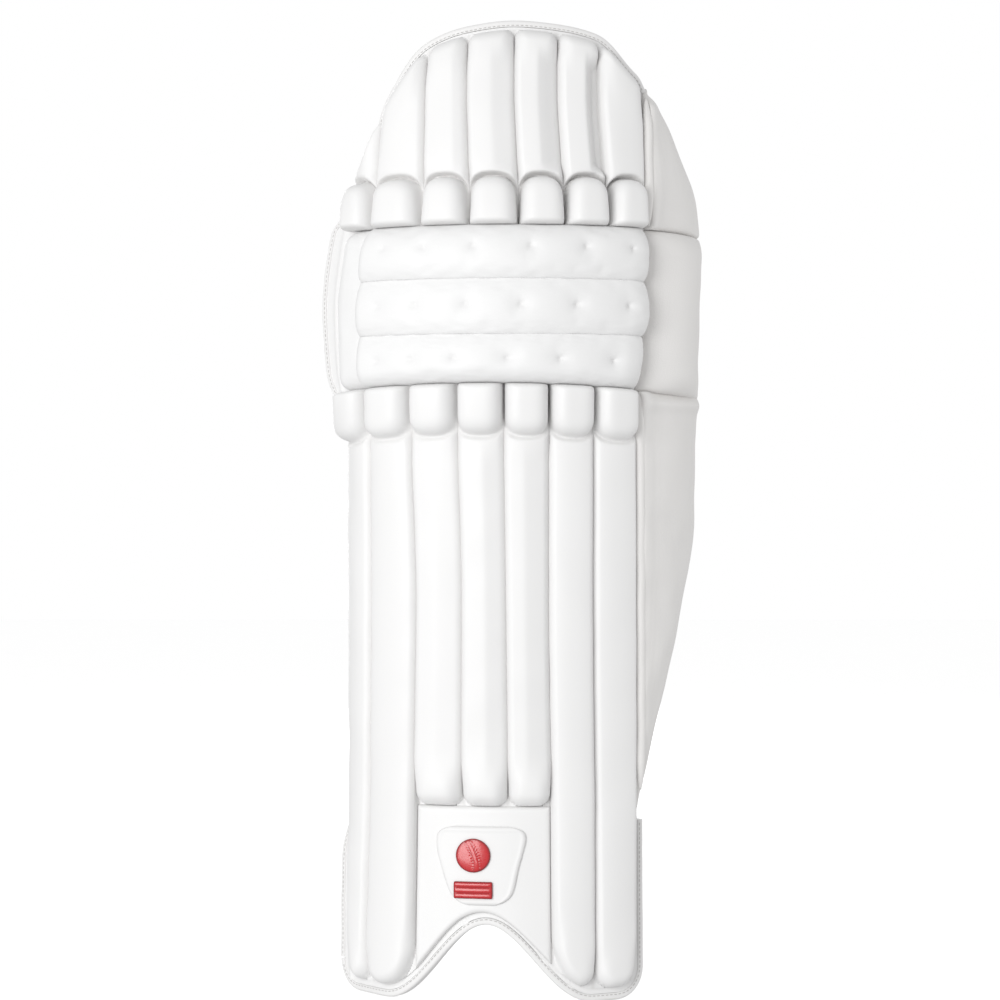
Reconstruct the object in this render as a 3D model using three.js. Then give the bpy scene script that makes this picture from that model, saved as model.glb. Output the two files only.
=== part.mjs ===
import * as THREE from "three";

// A cricket batting leg guard for one leg, standing on its two feet.
// Millimetres, +Z up. The front faces -Y and the leg goes behind, on the +Y side.
//
// Every piece is drawn on the guard's flat pattern and then bent round the leg. A place on the
// pattern is across (from the front line, + to the wing side), level (above the floor) and out
// (from the front face of the backing board, + away from the leg).

// Heights of the three stretches, floor upwards
const shinLength = 439;      // floor to the seam under the knee
const kneeLength = 119;      // seam under the knee to the seam over it
const thighLength = 153;     // seam over the knee to the top of the crown

// Widths on the flat pattern
const rollWidth = 32;        // mean width of one upright roll
const flangeWidth = 24;      // widest flat rim outside the rolls, beside the knee
const wingWidth = 96;        // widest reach of the wing past the board
const rootWidth = 4;         // flat strip between the last roll and the wing
const archHalfWidth = 77.5;  // instep arch, from its middle to where the foot is flat
const archHeight = 55;
const cornerRadius = 17;     // outer corners of the feet

// The curve that wraps the leg: radii, and headings in degrees from the line across the front
const frontRadius = 165;
const sideRadius = 68;
const kneeSideRadius = 110;
const footSideRadius = 75;
const wingRadius = 220;
const frontTurn = 7;         // how far the front line is turned to the left
const leftTurn = 28.5;
const sideTurn = 75;
const kneeSideTurn = 45;
const footSideTurn = 50;
const rightTurn = 33;
const rootTurn = 52;
const wingTurn = 75;

// How the guard leans along its height, + backwards
const backLean = 10;
const crownLean = 22;
const toeReach = 15;
const kneeReach = 4;
const footShare = 0.387;     // part of the shin over which the foot leans and opens out

// Thicknesses and padding heights
const boardThickness = 9;
const rollHeight = 13;
const capHeight = 22.5;      // the thumb-shaped swelling of each roll next to the knee
const kneeRollHeight = 26;
const sidePanelHeight = 16;
const wingPadding = 3.5;
const instepHeight = 5;
const patchHeight = 2.2;
const emblemHeight = 1.7;
const bindingThickness = 5;
const bindingLip = 1;        // how far the binding stands past each face of the board
const clearance = 0.3;       // between neighbouring pieces
const dimpleDepth = 3.5;

// Smaller features
const soleBand = 14;         // foot of the rolls, above the sole edge
const capLength = 39;
const crownRim = 4;          // flat rim between the ends of the rolls and the crown
const kneeSag = 5;           // how far the seam under the knee rises in the middle
const patchWidth = 64;
const patchLength = 56;
const patchAcross = -3;
const patchLevel = 69.5;
const ballRadius = 12;
const ballAcross = -8;
const ballLevel = 105;
const barWidth = 27;
const barLength = 12;
const barLevel = 74.5;
const barCorner = 2.4;       // cut off each corner of the bar

// Straps behind the leg
const strapThickness = 2.5;
const strapWidth = 38;
const strapReach = 124;      // from the front line to the outside of the strap behind the leg
const strapTab = 24;         // length sewn to the inner face at each end
const strapInset = 10;       // from the board's edge to the end of that length
const strapLift = 14;        // degrees by which the strap leaves the inner face there
const strapPull = 0.62;      // how straight its sides run back, as a share of the way
const strapFlat = 0.42;      // how flat it runs behind the leg, as a share of its width

const kneeBottom = shinLength;
const kneeTop = shinLength + kneeLength;
const soleEdge = bindingThickness + clearance;
const boardTop = kneeTop + thighLength - bindingThickness - clearance;
const degrees = Math.PI / 180;

const zones = {
  shin: share => share * shinLength,
  knee: share => kneeBottom + share * kneeLength,
  thigh: share => kneeTop + share * (boardTop - kneeTop),
};

// Levels where the lines between the rolls are given
const lineLevels = {
  foot: zones.shin(0.08),
  ankle: zones.shin(0.33),
  shin: zones.shin(0.66),
  underKnee: zones.shin(1),
  knee: zones.knee(0.5),
  overKnee: zones.thigh(0.06),
  thigh: zones.thigh(0.62),
};

// The eight lines that bound the seven rolls, left to right, in roll widths from the front
// line; top is where the line reaches the crown, as a share of the board above the knee
const rollLines = [
  { foot: -3.5, ankle: -3.56, shin: -3.66, underKnee: -3.73, knee: -3.81, overKnee: -3.45, thigh: -3.12, top: 0.31 },
  { foot: -2.83, ankle: -2.71, shin: -2.68, underKnee: -2.73, knee: -2.79, overKnee: -2.58, thigh: -2.44, top: 0.63 },
  { foot: -1.62, ankle: -1.58, shin: -1.52, underKnee: -1.66, knee: -1.56, overKnee: -1.39, thigh: -1.34, top: 0.905 },
  { foot: -0.50, ankle: -0.50, shin: -0.49, underKnee: -0.60, knee: -0.47, overKnee: -0.34, thigh: -0.40, top: 0.975 },
  { foot: 0.50, ankle: 0.50, shin: 0.46, underKnee: 0.41, knee: 0.57, overKnee: 0.73, thigh: 0.64, top: 1 },
  { foot: 1.46, ankle: 1.44, shin: 1.38, underKnee: 1.38, knee: 1.56, overKnee: 1.73, thigh: 1.61, top: 0.985 },
  { foot: 2.42, ankle: 2.40, shin: 2.36, underKnee: 2.37, knee: 2.55, overKnee: 2.71, thigh: 2.56, top: 0.944 },
  { foot: 3.39, ankle: 3.40, shin: 3.40, underKnee: 3.38, knee: 3.63, overKnee: 3.63, thigh: 3.60, top: 0.755 },
];

// Flat rim outside the first line, as a share of flangeWidth
const leftRim = [
  { zone: "shin", up: 0, wide: 0.66 },
  { zone: "shin", up: 0.14, wide: 0.66 },
  { zone: "shin", up: 0.23, wide: 0.58 },
  { zone: "shin", up: 0.33, wide: 0.25 },
  { zone: "shin", up: 0.45, wide: 0.12 },
  { zone: "shin", up: 0.91, wide: 0.12 },
  { zone: "shin", up: 0.98, wide: 0.27 },
  { zone: "knee", up: 0.03, wide: 0.58 },
  { zone: "knee", up: 0.13, wide: 0.8 },
  { zone: "knee", up: 0.5, wide: 0.92 },
  { zone: "knee", up: 0.88, wide: 0.97 },
  { zone: "knee", up: 1, wide: 0.92 },
  { zone: "thigh", up: 0.07, wide: 0.70 },
  { zone: "thigh", up: 0.14, wide: 0.26 },
  { zone: "thigh", up: 0.21, wide: 0.10 },
];

// Flat strip outside the last line, in root widths
const rightRim = [
  { zone: "shin", up: 0, wide: 1.65 },
  { zone: "shin", up: 0.289, wide: 1.65 },
  { zone: "shin", up: 0.318, wide: 0.9 },
  { zone: "shin", up: 0.9, wide: 0.9 },
  { zone: "knee", up: 0.1, wide: 1.2 },
  { zone: "thigh", up: 0.7, wide: 1.4 },
];

// Where the rims outside the rolls end at the top, as shares of the board above the knee
const leftRimTops = [0.2, 0.25];
const rightRimTop = 0.69;

// Outer edge of the wing past the board, as a share of wingWidth
const lowerWingEdge = [
  { zone: "shin", up: 0.335, wide: 0.035 },
  { zone: "shin", up: 0.365, wide: 0.085 },
  { zone: "shin", up: 0.405, wide: 0.14 },
  { zone: "shin", up: 0.485, wide: 0.293 },
  { zone: "shin", up: 0.568, wide: 0.457 },
  { zone: "shin", up: 0.65, wide: 0.61 },
  { zone: "shin", up: 0.75, wide: 0.82 },
  { zone: "shin", up: 0.82, wide: 0.87 },
  { zone: "shin", up: 0.91, wide: 0.895 },
  { zone: "shin", up: 0.985, wide: 0.885 },
];
const upperWingEdge = [
  { zone: "knee", up: 0, wide: 0.93 },
  { zone: "knee", up: 0.1, wide: 0.97 },
  { zone: "knee", up: 0.6, wide: 0.99 },
  { zone: "thigh", up: 0, wide: 0.985 },
  { zone: "thigh", up: 0.15, wide: 0.91 },
  { zone: "thigh", up: 0.24, wide: 0.77 },
  { zone: "thigh", up: 0.31, wide: 0.65 },
  { zone: "thigh", up: 0.425, wide: 0.44 },
  { zone: "thigh", up: 0.56, wide: 0.215 },
  { zone: "thigh", up: 0.69, wide: 0.065 },
];

// Levels of the cross rows, each in its own stretch of the guard
const soleRows = [0, 0.45, 1];                     // share of soleBand
const footRows = [0.45, 1];                        // share of the way to the top of the foot
const shinRows = [0.289, 0.318, 0.336, 0.358, 0.394, 0.53, 0.72, 0.902, 0.916, 0.93, 0.948, 0.973, 1];
const kneeRows = [1 / 6, 1 / 3, 1 / 2, 2 / 3, 5 / 6, 1];
const capRows = [0.18, 0.45, 0.72, 0.9, 1];        // share of capLength
const crownRows = [0.38, 0.82, 1];                 // share of the way to the end of the rolls

// Heights of the rolls at successive rows, floor upwards, as shares of rollHeight or capHeight
const rollFoot = [0.45, 0.9];
const capRise = [0.66, 0.92, 1, 1, 0.92];
const capFall = [0.92, 1, 1, 0.9, 0.7];
const rollCrown = [0.95, 0.95, 0.9, 0.5];

// Cross section of an upright roll: place across its width and share of its height
const roundRoll = [
  { across: 0, high: 0 },
  { across: 0.02, high: 0.42 },
  { across: 0.12, high: 0.78 },
  { across: 0.3, high: 0.96 },
  { across: 0.5, high: 1 },
  { across: 0.7, high: 0.96 },
  { across: 0.88, high: 0.78 },
  { across: 0.98, high: 0.42 },
  { across: 1, high: 0 },
];
const ridgedRoll = [
  { across: 0, high: 0 },
  { across: 0.02, high: 0.4 },
  { across: 0.13, high: 0.76 },
  { across: 0.3, high: 0.88 },
  { across: 0.5, high: 1 },
  { across: 0.7, high: 0.88 },
  { across: 0.87, high: 0.76 },
  { across: 0.98, high: 0.4 },
  { across: 1, high: 0 },
];
// Cross section of a roll across the knee, from its lower seam to its upper one
const kneeRoll = [
  { across: 0, high: 0 },
  { across: 0, high: 0.5 },
  { across: 0.1, high: 0.74 },
  { across: 0.28, high: 0.94 },
  { across: 0.5, high: 1 },
  { across: 0.72, high: 0.94 },
  { across: 0.9, high: 0.74 },
  { across: 1, high: 0.5 },
  { across: 1, high: 0 },
];

// Outline of the badge patch: share of its length, and its two sides as shares of its width
const patchOutline = [
  { up: 0, left: -0.16, right: 0.16 },
  { up: 0.08, left: -0.32, right: 0.31 },
  { up: 0.31, left: -0.425, right: 0.41 },
  { up: 0.55, left: -0.47, right: 0.46 },
  { up: 0.72, left: -0.5, right: 0.5 },
  { up: 0.84, left: -0.42, right: 0.44 },
  { up: 0.95, left: -0.3, right: 0.33 },
  { up: 1, left: -0.17, right: 0.18 },
];

// Dimples of each knee roll, lowest roll first: 2.5 is midway between lines 2 and 3
const dimples = [
  [1.48, 2.17, 3.01, 4.06, 5.12, 6.23],
  [1.48, 2.17, 3.13, 4.2, 5.32, 6.4],
  [1.48, 2.23, 3.18, 4.27, 5.39, 6.42],
];

const straps = [
  { name: "strap_ankle", level: 0.11 * shinLength, reach: 0.92 },
  { name: "strap_calf", level: 0.79 * shinLength, reach: 1 },
  { name: "strap_knee", level: kneeBottom + 0.5 * kneeLength, reach: 1 },
];

const leather = { color: 0xf4f3f0, roughness: 0.5, metalness: 0 };
const softLeather = { color: 0xf1f1f0, roughness: 0.55, metalness: 0 };
const wingCloth = { color: 0xebe8e4, roughness: 0.7, metalness: 0 };
const lining = { color: 0xe6e4df, roughness: 0.85, metalness: 0 };
const tape = { color: 0xf2f1ee, roughness: 0.6, metalness: 0 };
const webbing = { color: 0xdedbd4, roughness: 0.8, metalness: 0 };
const red = { color: 0xc41420, roughness: 0.35, metalness: 0 };

const guard = new THREE.Group();

function add(name, geometry, finish) {
  const mesh = new THREE.Mesh(geometry, new THREE.MeshStandardMaterial(finish));
  mesh.name = name;
  guard.add(mesh);
  return mesh;
}

// Curve through a few stops that never overshoots between them
function through(stops, values, at) {
  let i = 0;
  while (i < stops.length - 2 && at > stops[i + 1]) i++;
  const rise = k => (values[k + 1] - values[k]) / (stops[k + 1] - stops[k]);
  const slope = k => {
    if (k === 0) return rise(0);
    if (k === stops.length - 1) return rise(k - 1);
    const before = rise(k - 1);
    const after = rise(k);
    return before * after > 0 ? 2 * before * after / (before + after) : 0;
  };
  const step = stops[i + 1] - stops[i];
  const s = Math.min(1, Math.max(0, (at - stops[i]) / step));
  const s2 = s * s;
  const s3 = s2 * s;
  return values[i] * (2 * s3 - 3 * s2 + 1) + values[i + 1] * (3 * s2 - 2 * s3)
    + step * (slope(i) * (s3 - 2 * s2 + s) + slope(i + 1) * (s3 - s2));
}

function fromTable(table, column, level) {
  return through(table.map(row => zones[row.zone](row.up)), table.map(row => row[column]), level);
}

// Where the guard has its knee shape and its foot shape, from 0 to 1
const kneeShape = level => THREE.MathUtils.smoothstep(level, zones.shin(0.904), kneeBottom)
  * (1 - THREE.MathUtils.smoothstep(level, kneeTop, zones.thigh(0.3)));
const footShape = level => 1 - THREE.MathUtils.smoothstep(level, zones.shin(0.216), zones.shin(footShare));

function lean(level) {
  const crown = crownLean * Math.max(0, (level - kneeTop) / thighLength) ** 1.6;
  const toe = -toeReach * Math.max(0, 1 - level / zones.shin(footShare)) ** 2;
  return backLean * level / (kneeTop + thighLength) + crown + toe - kneeReach * kneeShape(level);
}

// Arcs of the level section on one side, from the front line outwards
function arcs(level, side) {
  if (side > 0) {
    return [
      { radius: frontRadius, heading: rightTurn },
      { radius: sideRadius, heading: rootTurn },
      { radius: wingRadius, heading: wingTurn },
    ];
  }
  const knee = kneeShape(level);
  const foot = footShape(level);
  return [
    { radius: frontRadius, heading: -leftTurn },
    {
      radius: sideRadius + knee * (kneeSideRadius - sideRadius) + foot * (footSideRadius - sideRadius),
      heading: -sideTurn + knee * (sideTurn - kneeSideTurn) + foot * (sideTurn - footSideTurn),
    },
  ];
}

// Place and heading of the board's front face at a place across the pattern
function section(across, level) {
  const side = across < 0 ? -1 : 1;
  let heading = -frontTurn * degrees;
  let left = Math.abs(across);
  let x = 0;
  let y = lean(level);
  for (const arc of arcs(level, side)) {
    const length = arc.radius * Math.abs(arc.heading * degrees - heading);
    const next = heading + side * Math.min(left, length) / arc.radius;
    x += arc.radius * (Math.sin(next) - Math.sin(heading));
    y += arc.radius * (Math.cos(heading) - Math.cos(next));
    left -= Math.min(left, length);
    heading = next;
  }
  return {
    x: x + side * left * Math.cos(heading),
    y: y + side * left * Math.sin(heading),
    heading,
  };
}

function bend(across, level, out) {
  const at = section(across, level);
  return new THREE.Vector3(at.x + out * Math.sin(at.heading), at.y - out * Math.cos(at.heading), level);
}

// Line number k between the rolls, with the parts of a roll in between: 2.5 is mid roll
function rollLine(k, level) {
  const stops = Object.values(lineLevels);
  const at = index => {
    const row = rollLines[index];
    return rollWidth * through(stops, Object.keys(lineLevels).map(name => row[name]), level);
  };
  const low = Math.min(rollLines.length - 2, Math.floor(k));
  return at(low) + (k - low) * (at(low + 1) - at(low));
}

const lastLine = rollLines.length - 1;
const leftEdge = level => rollLine(0, level) - flangeWidth * fromTable(leftRim, "wide", level);
const rightEdge = level => rollLine(lastLine, level) + rootWidth * fromTable(rightRim, "wide", level);

// Columns of the board: its left edge, the rolls in thirds, and its right edge
const thirds = 3;
const columns = [
  level => leftEdge(level),
  level => (leftEdge(level) + rollLine(0, level)) / 2,
];
const firstLineColumn = columns.length;
for (let n = 0; n <= lastLine * thirds; n++) columns.push(level => rollLine(n / thirds, level));
columns.push(level => rightEdge(level));
const lastColumn = columns.length - 1;
const lineColumn = k => firstLineColumn + k * thirds;

function columnTop(column) {
  const tops = rollLines.map(row => row.top);
  const line = (column - firstLineColumn) / thirds;
  const share = column < firstLineColumn ? leftRimTops[column]
    : column === lastColumn ? rightRimTop
      : through(tops.map((top, k) => k), tops, line);
  return zones.thigh(share);
}

function soleLevel(across) {
  const arch = Math.abs(across) < archHalfWidth
    ? archHeight * (1 + Math.cos(Math.PI * across / archHalfWidth)) / 2 : 0;
  const inCorner = Math.max(0, cornerRadius - Math.min(across - leftEdge(0), rightEdge(0) - across));
  const corner = cornerRadius - Math.sqrt(Math.max(0, cornerRadius ** 2 - inCorner ** 2));
  return soleEdge + arch + corner;
}

// The seam under the knee rises in the middle, and takes the rows beside it along
function sagged(level, across) {
  const near = level < kneeBottom
    ? THREE.MathUtils.clamp((level / shinLength - 0.9) / 0.1, 0, 1)
    : THREE.MathUtils.clamp(1 - (level - kneeBottom) / (kneeLength / 3), 0, 1);
  return level + near * kneeSag * Math.max(0, 1 - (across / (3.6 * rollWidth)) ** 2);
}

// All levels of one column, floor to crown
function levelsOf(column) {
  const sole = soleLevel(columns[column](0));
  const footTop = 0.25 * shinLength;
  const top = columnTop(column);
  const capBand = Math.min(capLength, 0.8 * (top - crownRim - kneeTop));
  const levels = [
    ...soleRows.map(share => sole + share * soleBand),
    ...footRows.map(share => sole + soleBand + share * (footTop - sole - soleBand)),
    ...shinRows.map(zones.shin),
    ...kneeRows.map(zones.knee),
    ...capRows.map(share => kneeTop + share * capBand),
    ...crownRows.map(share => kneeTop + capBand + share * (top - crownRim - kneeTop - capBand)),
    top,
  ];
  return levels.map(level => sagged(level, columns[column](level)));
}

const pattern = columns.map((column, c) => levelsOf(c).map(level => ({ across: column(level), level })));
const lastRow = pattern[0].length - 1;
const footTopRow = soleRows.length + footRows.length - 1;
const shinRow = share => footTopRow + 1 + shinRows.indexOf(share);
const rimRow = 1;
const stepRow = shinRow(0.289);
const instepRow = shinRow(0.318);
const kneeBottomRow = shinRow(1);
const kneeTopRow = kneeBottomRow + kneeRows.length;
const rollEndRow = lastRow - 1;

function toGeometry(points, triangles) {
  const geometry = new THREE.BufferGeometry();
  const places = points.flatMap(p => [p.x, p.y, p.z]);
  geometry.setAttribute("position", new THREE.Float32BufferAttribute(places, 3));
  geometry.setIndex(triangles.flat());
  return turnedOut(geometry);
}

// Faces are turned round when they enclose a negative volume
function turnedOut(geometry) {
  const position = geometry.attributes.position;
  const index = geometry.index.array;
  const corner = k => new THREE.Vector3().fromBufferAttribute(position, index[k]);
  let volume = 0;
  for (let k = 0; k < index.length; k += 3) volume += corner(k).dot(corner(k + 1).cross(corner(k + 2)));
  if (volume < 0) {
    for (let k = 0; k < index.length; k += 3) [index[k], index[k + 1]] = [index[k + 1], index[k]];
  }
  return geometry;
}

// Closed body through sections of equal count: each is a list of {across, level, out} places,
// and flat gives the two coordinates in which the end sections are simple outlines
function loft(sections, flat) {
  const count = sections[0].length;
  const points = sections.flat().map(p => bend(p.across, p.level, p.out));
  const triangles = [];
  for (let s = 0; s < sections.length - 1; s++) {
    for (let k = 0; k < count; k++) {
      const a = s * count + k;
      const b = s * count + (k + 1) % count;
      triangles.push([a, b, a + count], [b, b + count, a + count]);
    }
  }
  // The first end face is wound against its outline, and the last one with it
  for (const s of [0, sections.length - 1]) {
    const outline = sections[s].map(p => new THREE.Vector2(...flat(p)));
    for (const face of THREE.ShapeUtils.triangulateShape(outline, [])) {
      const corners = face.map(k => outline[k]);
      const along = THREE.ShapeUtils.area(corners) * THREE.ShapeUtils.area(outline) > 0;
      const wound = face.map(k => s * count + k);
      triangles.push(along === s > 0 ? wound : wound.reverse());
    }
  }
  return toGeometry(points, triangles);
}

// Padded sheet over a patch of places, between two heights that are given for each place
function sheet(patch, under, over) {
  const wide = patch.length;
  const high = patch[0].length;
  const layer = height => patch.flatMap((column, c) =>
    column.map((p, r) => bend(p.across, p.level, height(c, r))));
  const points = [...layer(over), ...layer(under)];
  const at = (c, r, below) => (below ? wide * high : 0) + c * high + r;
  const triangles = [];
  for (let c = 0; c < wide - 1; c++) {
    for (let r = 0; r < high - 1; r++) {
      triangles.push([at(c, r), at(c + 1, r), at(c + 1, r + 1)], [at(c, r), at(c + 1, r + 1), at(c, r + 1)]);
      triangles.push([at(c, r, 1), at(c + 1, r + 1, 1), at(c + 1, r, 1)]);
      triangles.push([at(c, r, 1), at(c, r + 1, 1), at(c + 1, r + 1, 1)]);
    }
  }
  const rim = [];
  for (let c = 0; c < wide - 1; c++) rim.push([c, 0]);
  for (let r = 0; r < high - 1; r++) rim.push([wide - 1, r]);
  for (let c = wide - 1; c > 0; c--) rim.push([c, high - 1]);
  for (let r = high - 1; r > 0; r--) rim.push([0, r]);
  rim.forEach(([c, r], k) => {
    const [nextC, nextR] = rim[(k + 1) % rim.length];
    triangles.push([at(c, r), at(c, r, 1), at(nextC, nextR)]);
    triangles.push([at(c, r, 1), at(nextC, nextR, 1), at(nextC, nextR)]);
  });
  return toGeometry(points, triangles);
}

// Patch of the pattern between two columns and two rows, drawn in by half the clearance
function patchOf(fromColumn, toColumn, fromRow, toRow) {
  const half = clearance / 2;
  return pattern.slice(fromColumn, toColumn + 1).map((column, c) =>
    column.slice(fromRow, toRow + 1).map((p, r) => ({
      across: p.across + (c === 0 ? half : c === toColumn - fromColumn ? -half : 0),
      level: p.level + (r === 0 ? half : r === toRow - fromRow ? -half : 0),
    })));
}

// Upright roll k between two rows; heights gives its height at each row
function uprightRoll(k, fromRow, toRow, heights, profile) {
  const patch = patchOf(lineColumn(k), lineColumn(k + 1), fromRow, toRow);
  const rows = patch[0].length;
  const sections = [];
  for (let r = 0; r < rows; r++) {
    const base = patch.map(column => ({ ...column[r], out: clearance }));
    const top = profile.map(({ across, high }) => {
      const c = Math.min(thirds - 1, Math.floor(across * thirds));
      const part = across * thirds - c;
      return {
        across: THREE.MathUtils.lerp(base[c].across, base[c + 1].across, part),
        level: THREE.MathUtils.lerp(base[c].level, base[c + 1].level, part),
        out: clearance + high * (heights(fromRow + r) - clearance),
      };
    });
    sections.push([...top, base[2], base[1]]);
  }
  return loft(sections, p => [p.across, p.out]);
}

// Height of a shin roll row by row: rounded at its foot, swelling into the cap at the knee
function shinHeight(firstRow) {
  const firstCapRow = kneeBottomRow + 1 - capRise.length;
  return row => (row < firstCapRow
    ? rollHeight * (rollFoot[row - firstRow] ?? 1)
    : capHeight * capRise[row - firstCapRow]);
}

// Height of a thigh roll row by row: the cap at the knee, then thinning to the crown
function thighHeight(row) {
  const step = row - kneeTopRow;
  return step < capFall.length ? capHeight * capFall[step] : rollHeight * rollCrown[step - capFall.length];
}

function backingBoard() {
  const patch = pattern.map(column => column.map(p => ({ ...p })));
  add("backing_board", sheet(patch, () => -boardThickness, () => 0), lining);
}

const middleRolls = [2, 3, 4];

function shinRolls() {
  for (let k = 0; k < lastLine; k++) {
    const middle = middleRolls.includes(k);
    const from = middle ? instepRow : rimRow;
    const profile = middle ? ridgedRoll : roundRoll;
    add(`shin_roll_${k + 1}`, uprightRoll(k, from, kneeBottomRow, shinHeight(from), profile), leather);
  }
}

function thighRolls() {
  for (let k = 0; k < lastLine; k++) {
    const profile = k >= middleRolls[0] && k < lastLine - 1 ? ridgedRoll : roundRoll;
    add(`thigh_roll_${k + 1}`, uprightRoll(k, kneeTopRow, rollEndRow, thighHeight, profile), leather);
  }
}

// The three rolls across the knee, each dimpled along its crest. Their sections follow the lines
// between the upright rolls
function kneeRolls() {
  const names = ["knee_roll_bottom", "knee_roll_middle", "knee_roll_top"];
  const half = clearance / 2;
  names.forEach((name, n) => {
    const stops = [1, ...dimples[n], lastLine];
    const stations = [];
    for (let s = 0; s < stops.length - 1; s++) {
      const steps = s === stops.length - 2 ? 2 : 3;
      for (let q = 0; q < steps; q++) {
        const dip = q === 0 && s > 0 ? dimpleDepth : 0;
        stations.push({ line: THREE.MathUtils.lerp(stops[s], stops[s + 1], q / steps), dip, full: 1 });
      }
    }
    stations[0].full = 0.5;
    stations.push({ line: lastLine - 0.12, dip: 0, full: 0.85 }, { line: lastLine, dip: 0, full: 0.5 });
    const sections = stations.map(({ line, dip, full }, s) => {
      const inset = s === 0 ? half : s === stations.length - 1 ? -half : 0;
      const place = (share, out) => {
        const rise = share === 0 ? half : share === 1 ? -half : 0;
        const level = zones.knee((n + share) / 3);
        const across = rollLine(line, level) + inset;
        return { across, level: sagged(level, across) + rise, out };
      };
      const top = kneeRoll.map(point => place(point.across,
        clearance + point.high * (kneeRollHeight * full - clearance) - (point.across === 0.5 ? dip : 0)));
      return [...top, place(0.5, clearance)];
    });
    add(name, loft(sections, p => [p.level, p.out]), softLeather);
  });
}

function kneeSidePanel() {
  const patch = patchOf(lineColumn(0), lineColumn(1), kneeBottomRow, kneeTopRow);
  const lastR = patch[0].length - 1;
  const over = (c, r) => {
    const side = c === 0 ? 0.35 : c === thirds ? 0.85 : 1;
    const end = r === 0 || r === lastR ? 0.55 : r === 1 || r === lastR - 1 ? 0.95 : 1;
    return sidePanelHeight * side * end;
  };
  add("knee_side_panel", sheet(patch, () => clearance, over), softLeather);
}

function instepPanel() {
  const patch = patchOf(lineColumn(2), lineColumn(5), rimRow, instepRow);
  const lastC = patch.length - 1;
  const lastR = patch[0].length - 1;
  const rim = (c, r) => c === 0 || c === lastC || r === 0 || r === lastR;
  const over = (c, r) => instepHeight * (rim(c, r) ? 0.6 : 1);
  add("instep_panel", sheet(patch, () => clearance, over), leather);
}

// Patch of places between two side lines, with the shares across that it is divided in
function between(levels, left, right, shares) {
  return shares.map(share => levels.map(level => ({
    across: THREE.MathUtils.lerp(left(level), right(level), share),
    level,
  })));
}

function wings() {
  const shares = [0, 0.1, 0.35, 0.6, 0.85, 1];
  const padding = [0.5, 1, 0.95, 0.8, 0.5, -0.6];
  const under = c => -boardThickness * (c === shares.length - 1 ? 0.7 : 1);
  const half = clearance / 2;
  const root = level => rightEdge(level) + clearance + half;
  const edgeLevels = pattern[lastColumn].map(p => p.level);
  const lowerLevels = lowerWingEdge.slice(0, -1).map(row => zones.shin(row.up));
  const parts = [
    {
      name: "wing_lower",
      levels: [...lowerLevels, ...edgeLevels.slice(kneeBottomRow - 3, kneeBottomRow + 1)],
      edge: lowerWingEdge,
    },
    { name: "wing_knee", levels: edgeLevels.slice(kneeBottomRow, kneeTopRow + 1), edge: upperWingEdge },
    { name: "wing_upper", levels: edgeLevels.slice(kneeTopRow), edge: upperWingEdge },
  ];
  for (const { name, levels, edge } of parts) {
    const drawn = levels.map((level, r) => level + (r === 0 ? half : r === levels.length - 1 ? -half : 0));
    const outer = level => rightEdge(level) + clearance + wingWidth * fromTable(edge, "wide", level);
    const patch = between(drawn, root, outer, shares);
    const over = (c, r) => {
      const seam = r === 0 || r === levels.length - 1;
      return padding[c] * wingPadding - (seam ? 0.4 * wingPadding : 0);
    };
    add(name, sheet(patch, under, over), wingCloth);
  }
}

// Binding round the board's edge: a rounded band along part of the outline
function bindingPiece(name, path, mitred) {
  const low = -boardThickness - bindingLip;
  const round = 0.28 * bindingThickness;
  const corners = [
    { away: 0, out: low },
    { away: 0, out: bindingLip },
    { away: bindingThickness - round, out: bindingLip },
    { away: bindingThickness, out: bindingLip - round },
    { away: bindingThickness, out: low + round },
    { away: bindingThickness - round, out: low },
  ];
  const direction = (a, b) => new THREE.Vector2(b.across - a.across, b.level - a.level).normalize();
  const sections = [];
  for (let k = 1; k < path.length - 1; k++) {
    const before = direction(path[k - 1], path[k]);
    const after = direction(path[k], path[k + 1]);
    const first = k === 1;
    const last = k === path.length - 2;
    if (first && !mitred.start) before.copy(after);
    if (last && !mitred.end) after.copy(before);
    const along = before.clone().add(after).normalize();
    const away = new THREE.Vector2(-along.y, along.x);
    const stretch = 1 / Math.max(0.5, along.dot(after));
    const slide = first ? clearance / 2 : last ? -clearance / 2 : 0;
    const run = first ? after : before;
    sections.push(corners.map(corner => ({
      across: path[k].across + away.x * stretch * (corner.away + clearance) + run.x * slide,
      level: path[k].level + away.y * stretch * (corner.away + clearance) + run.y * slide,
      out: corner.out,
    })));
  }
  add(name, loft(sections, p => [p.across + p.level, p.out]), tape);
}

// The outline runs clockwise as seen from the front: up the left side, over the crown, down the
// right foot and back along the soles. Each piece also gets one place before and one after it.
function bindings() {
  const left = pattern[0];
  const crown = pattern.map(column => column[lastRow]);
  const rightFoot = pattern[lastColumn].slice(0, stepRow + 1).reverse();
  const soles = pattern.map(column => column[0]).reverse();
  const nearest = across => soles.reduce((best, p, k) =>
    (Math.abs(p.across - across) < Math.abs(soles[best].across - across) ? k : best), 0);
  const archRight = nearest(archHalfWidth);
  const archLeft = nearest(-archHalfWidth);
  const joined = { start: true, end: true };
  const extend = (a, b) => ({ across: 2 * a.across - b.across, level: 2 * a.level - b.level });

  bindingPiece("binding_left", [soles.at(-2), ...left, crown[1]], joined);
  bindingPiece("binding_crown", [left.at(-2), ...crown, extend(crown.at(-1), crown.at(-2))],
    { start: true, end: false });
  bindingPiece("binding_right_foot",
    [extend(rightFoot[0], rightFoot[1]), ...rightFoot, ...soles.slice(1, archRight + 2)],
    { start: false, end: true });
  bindingPiece("binding_arch", soles.slice(archRight - 1, archLeft + 2), joined);
  bindingPiece("binding_left_foot", [...soles.slice(archLeft - 1), left[1]], joined);
}

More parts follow.
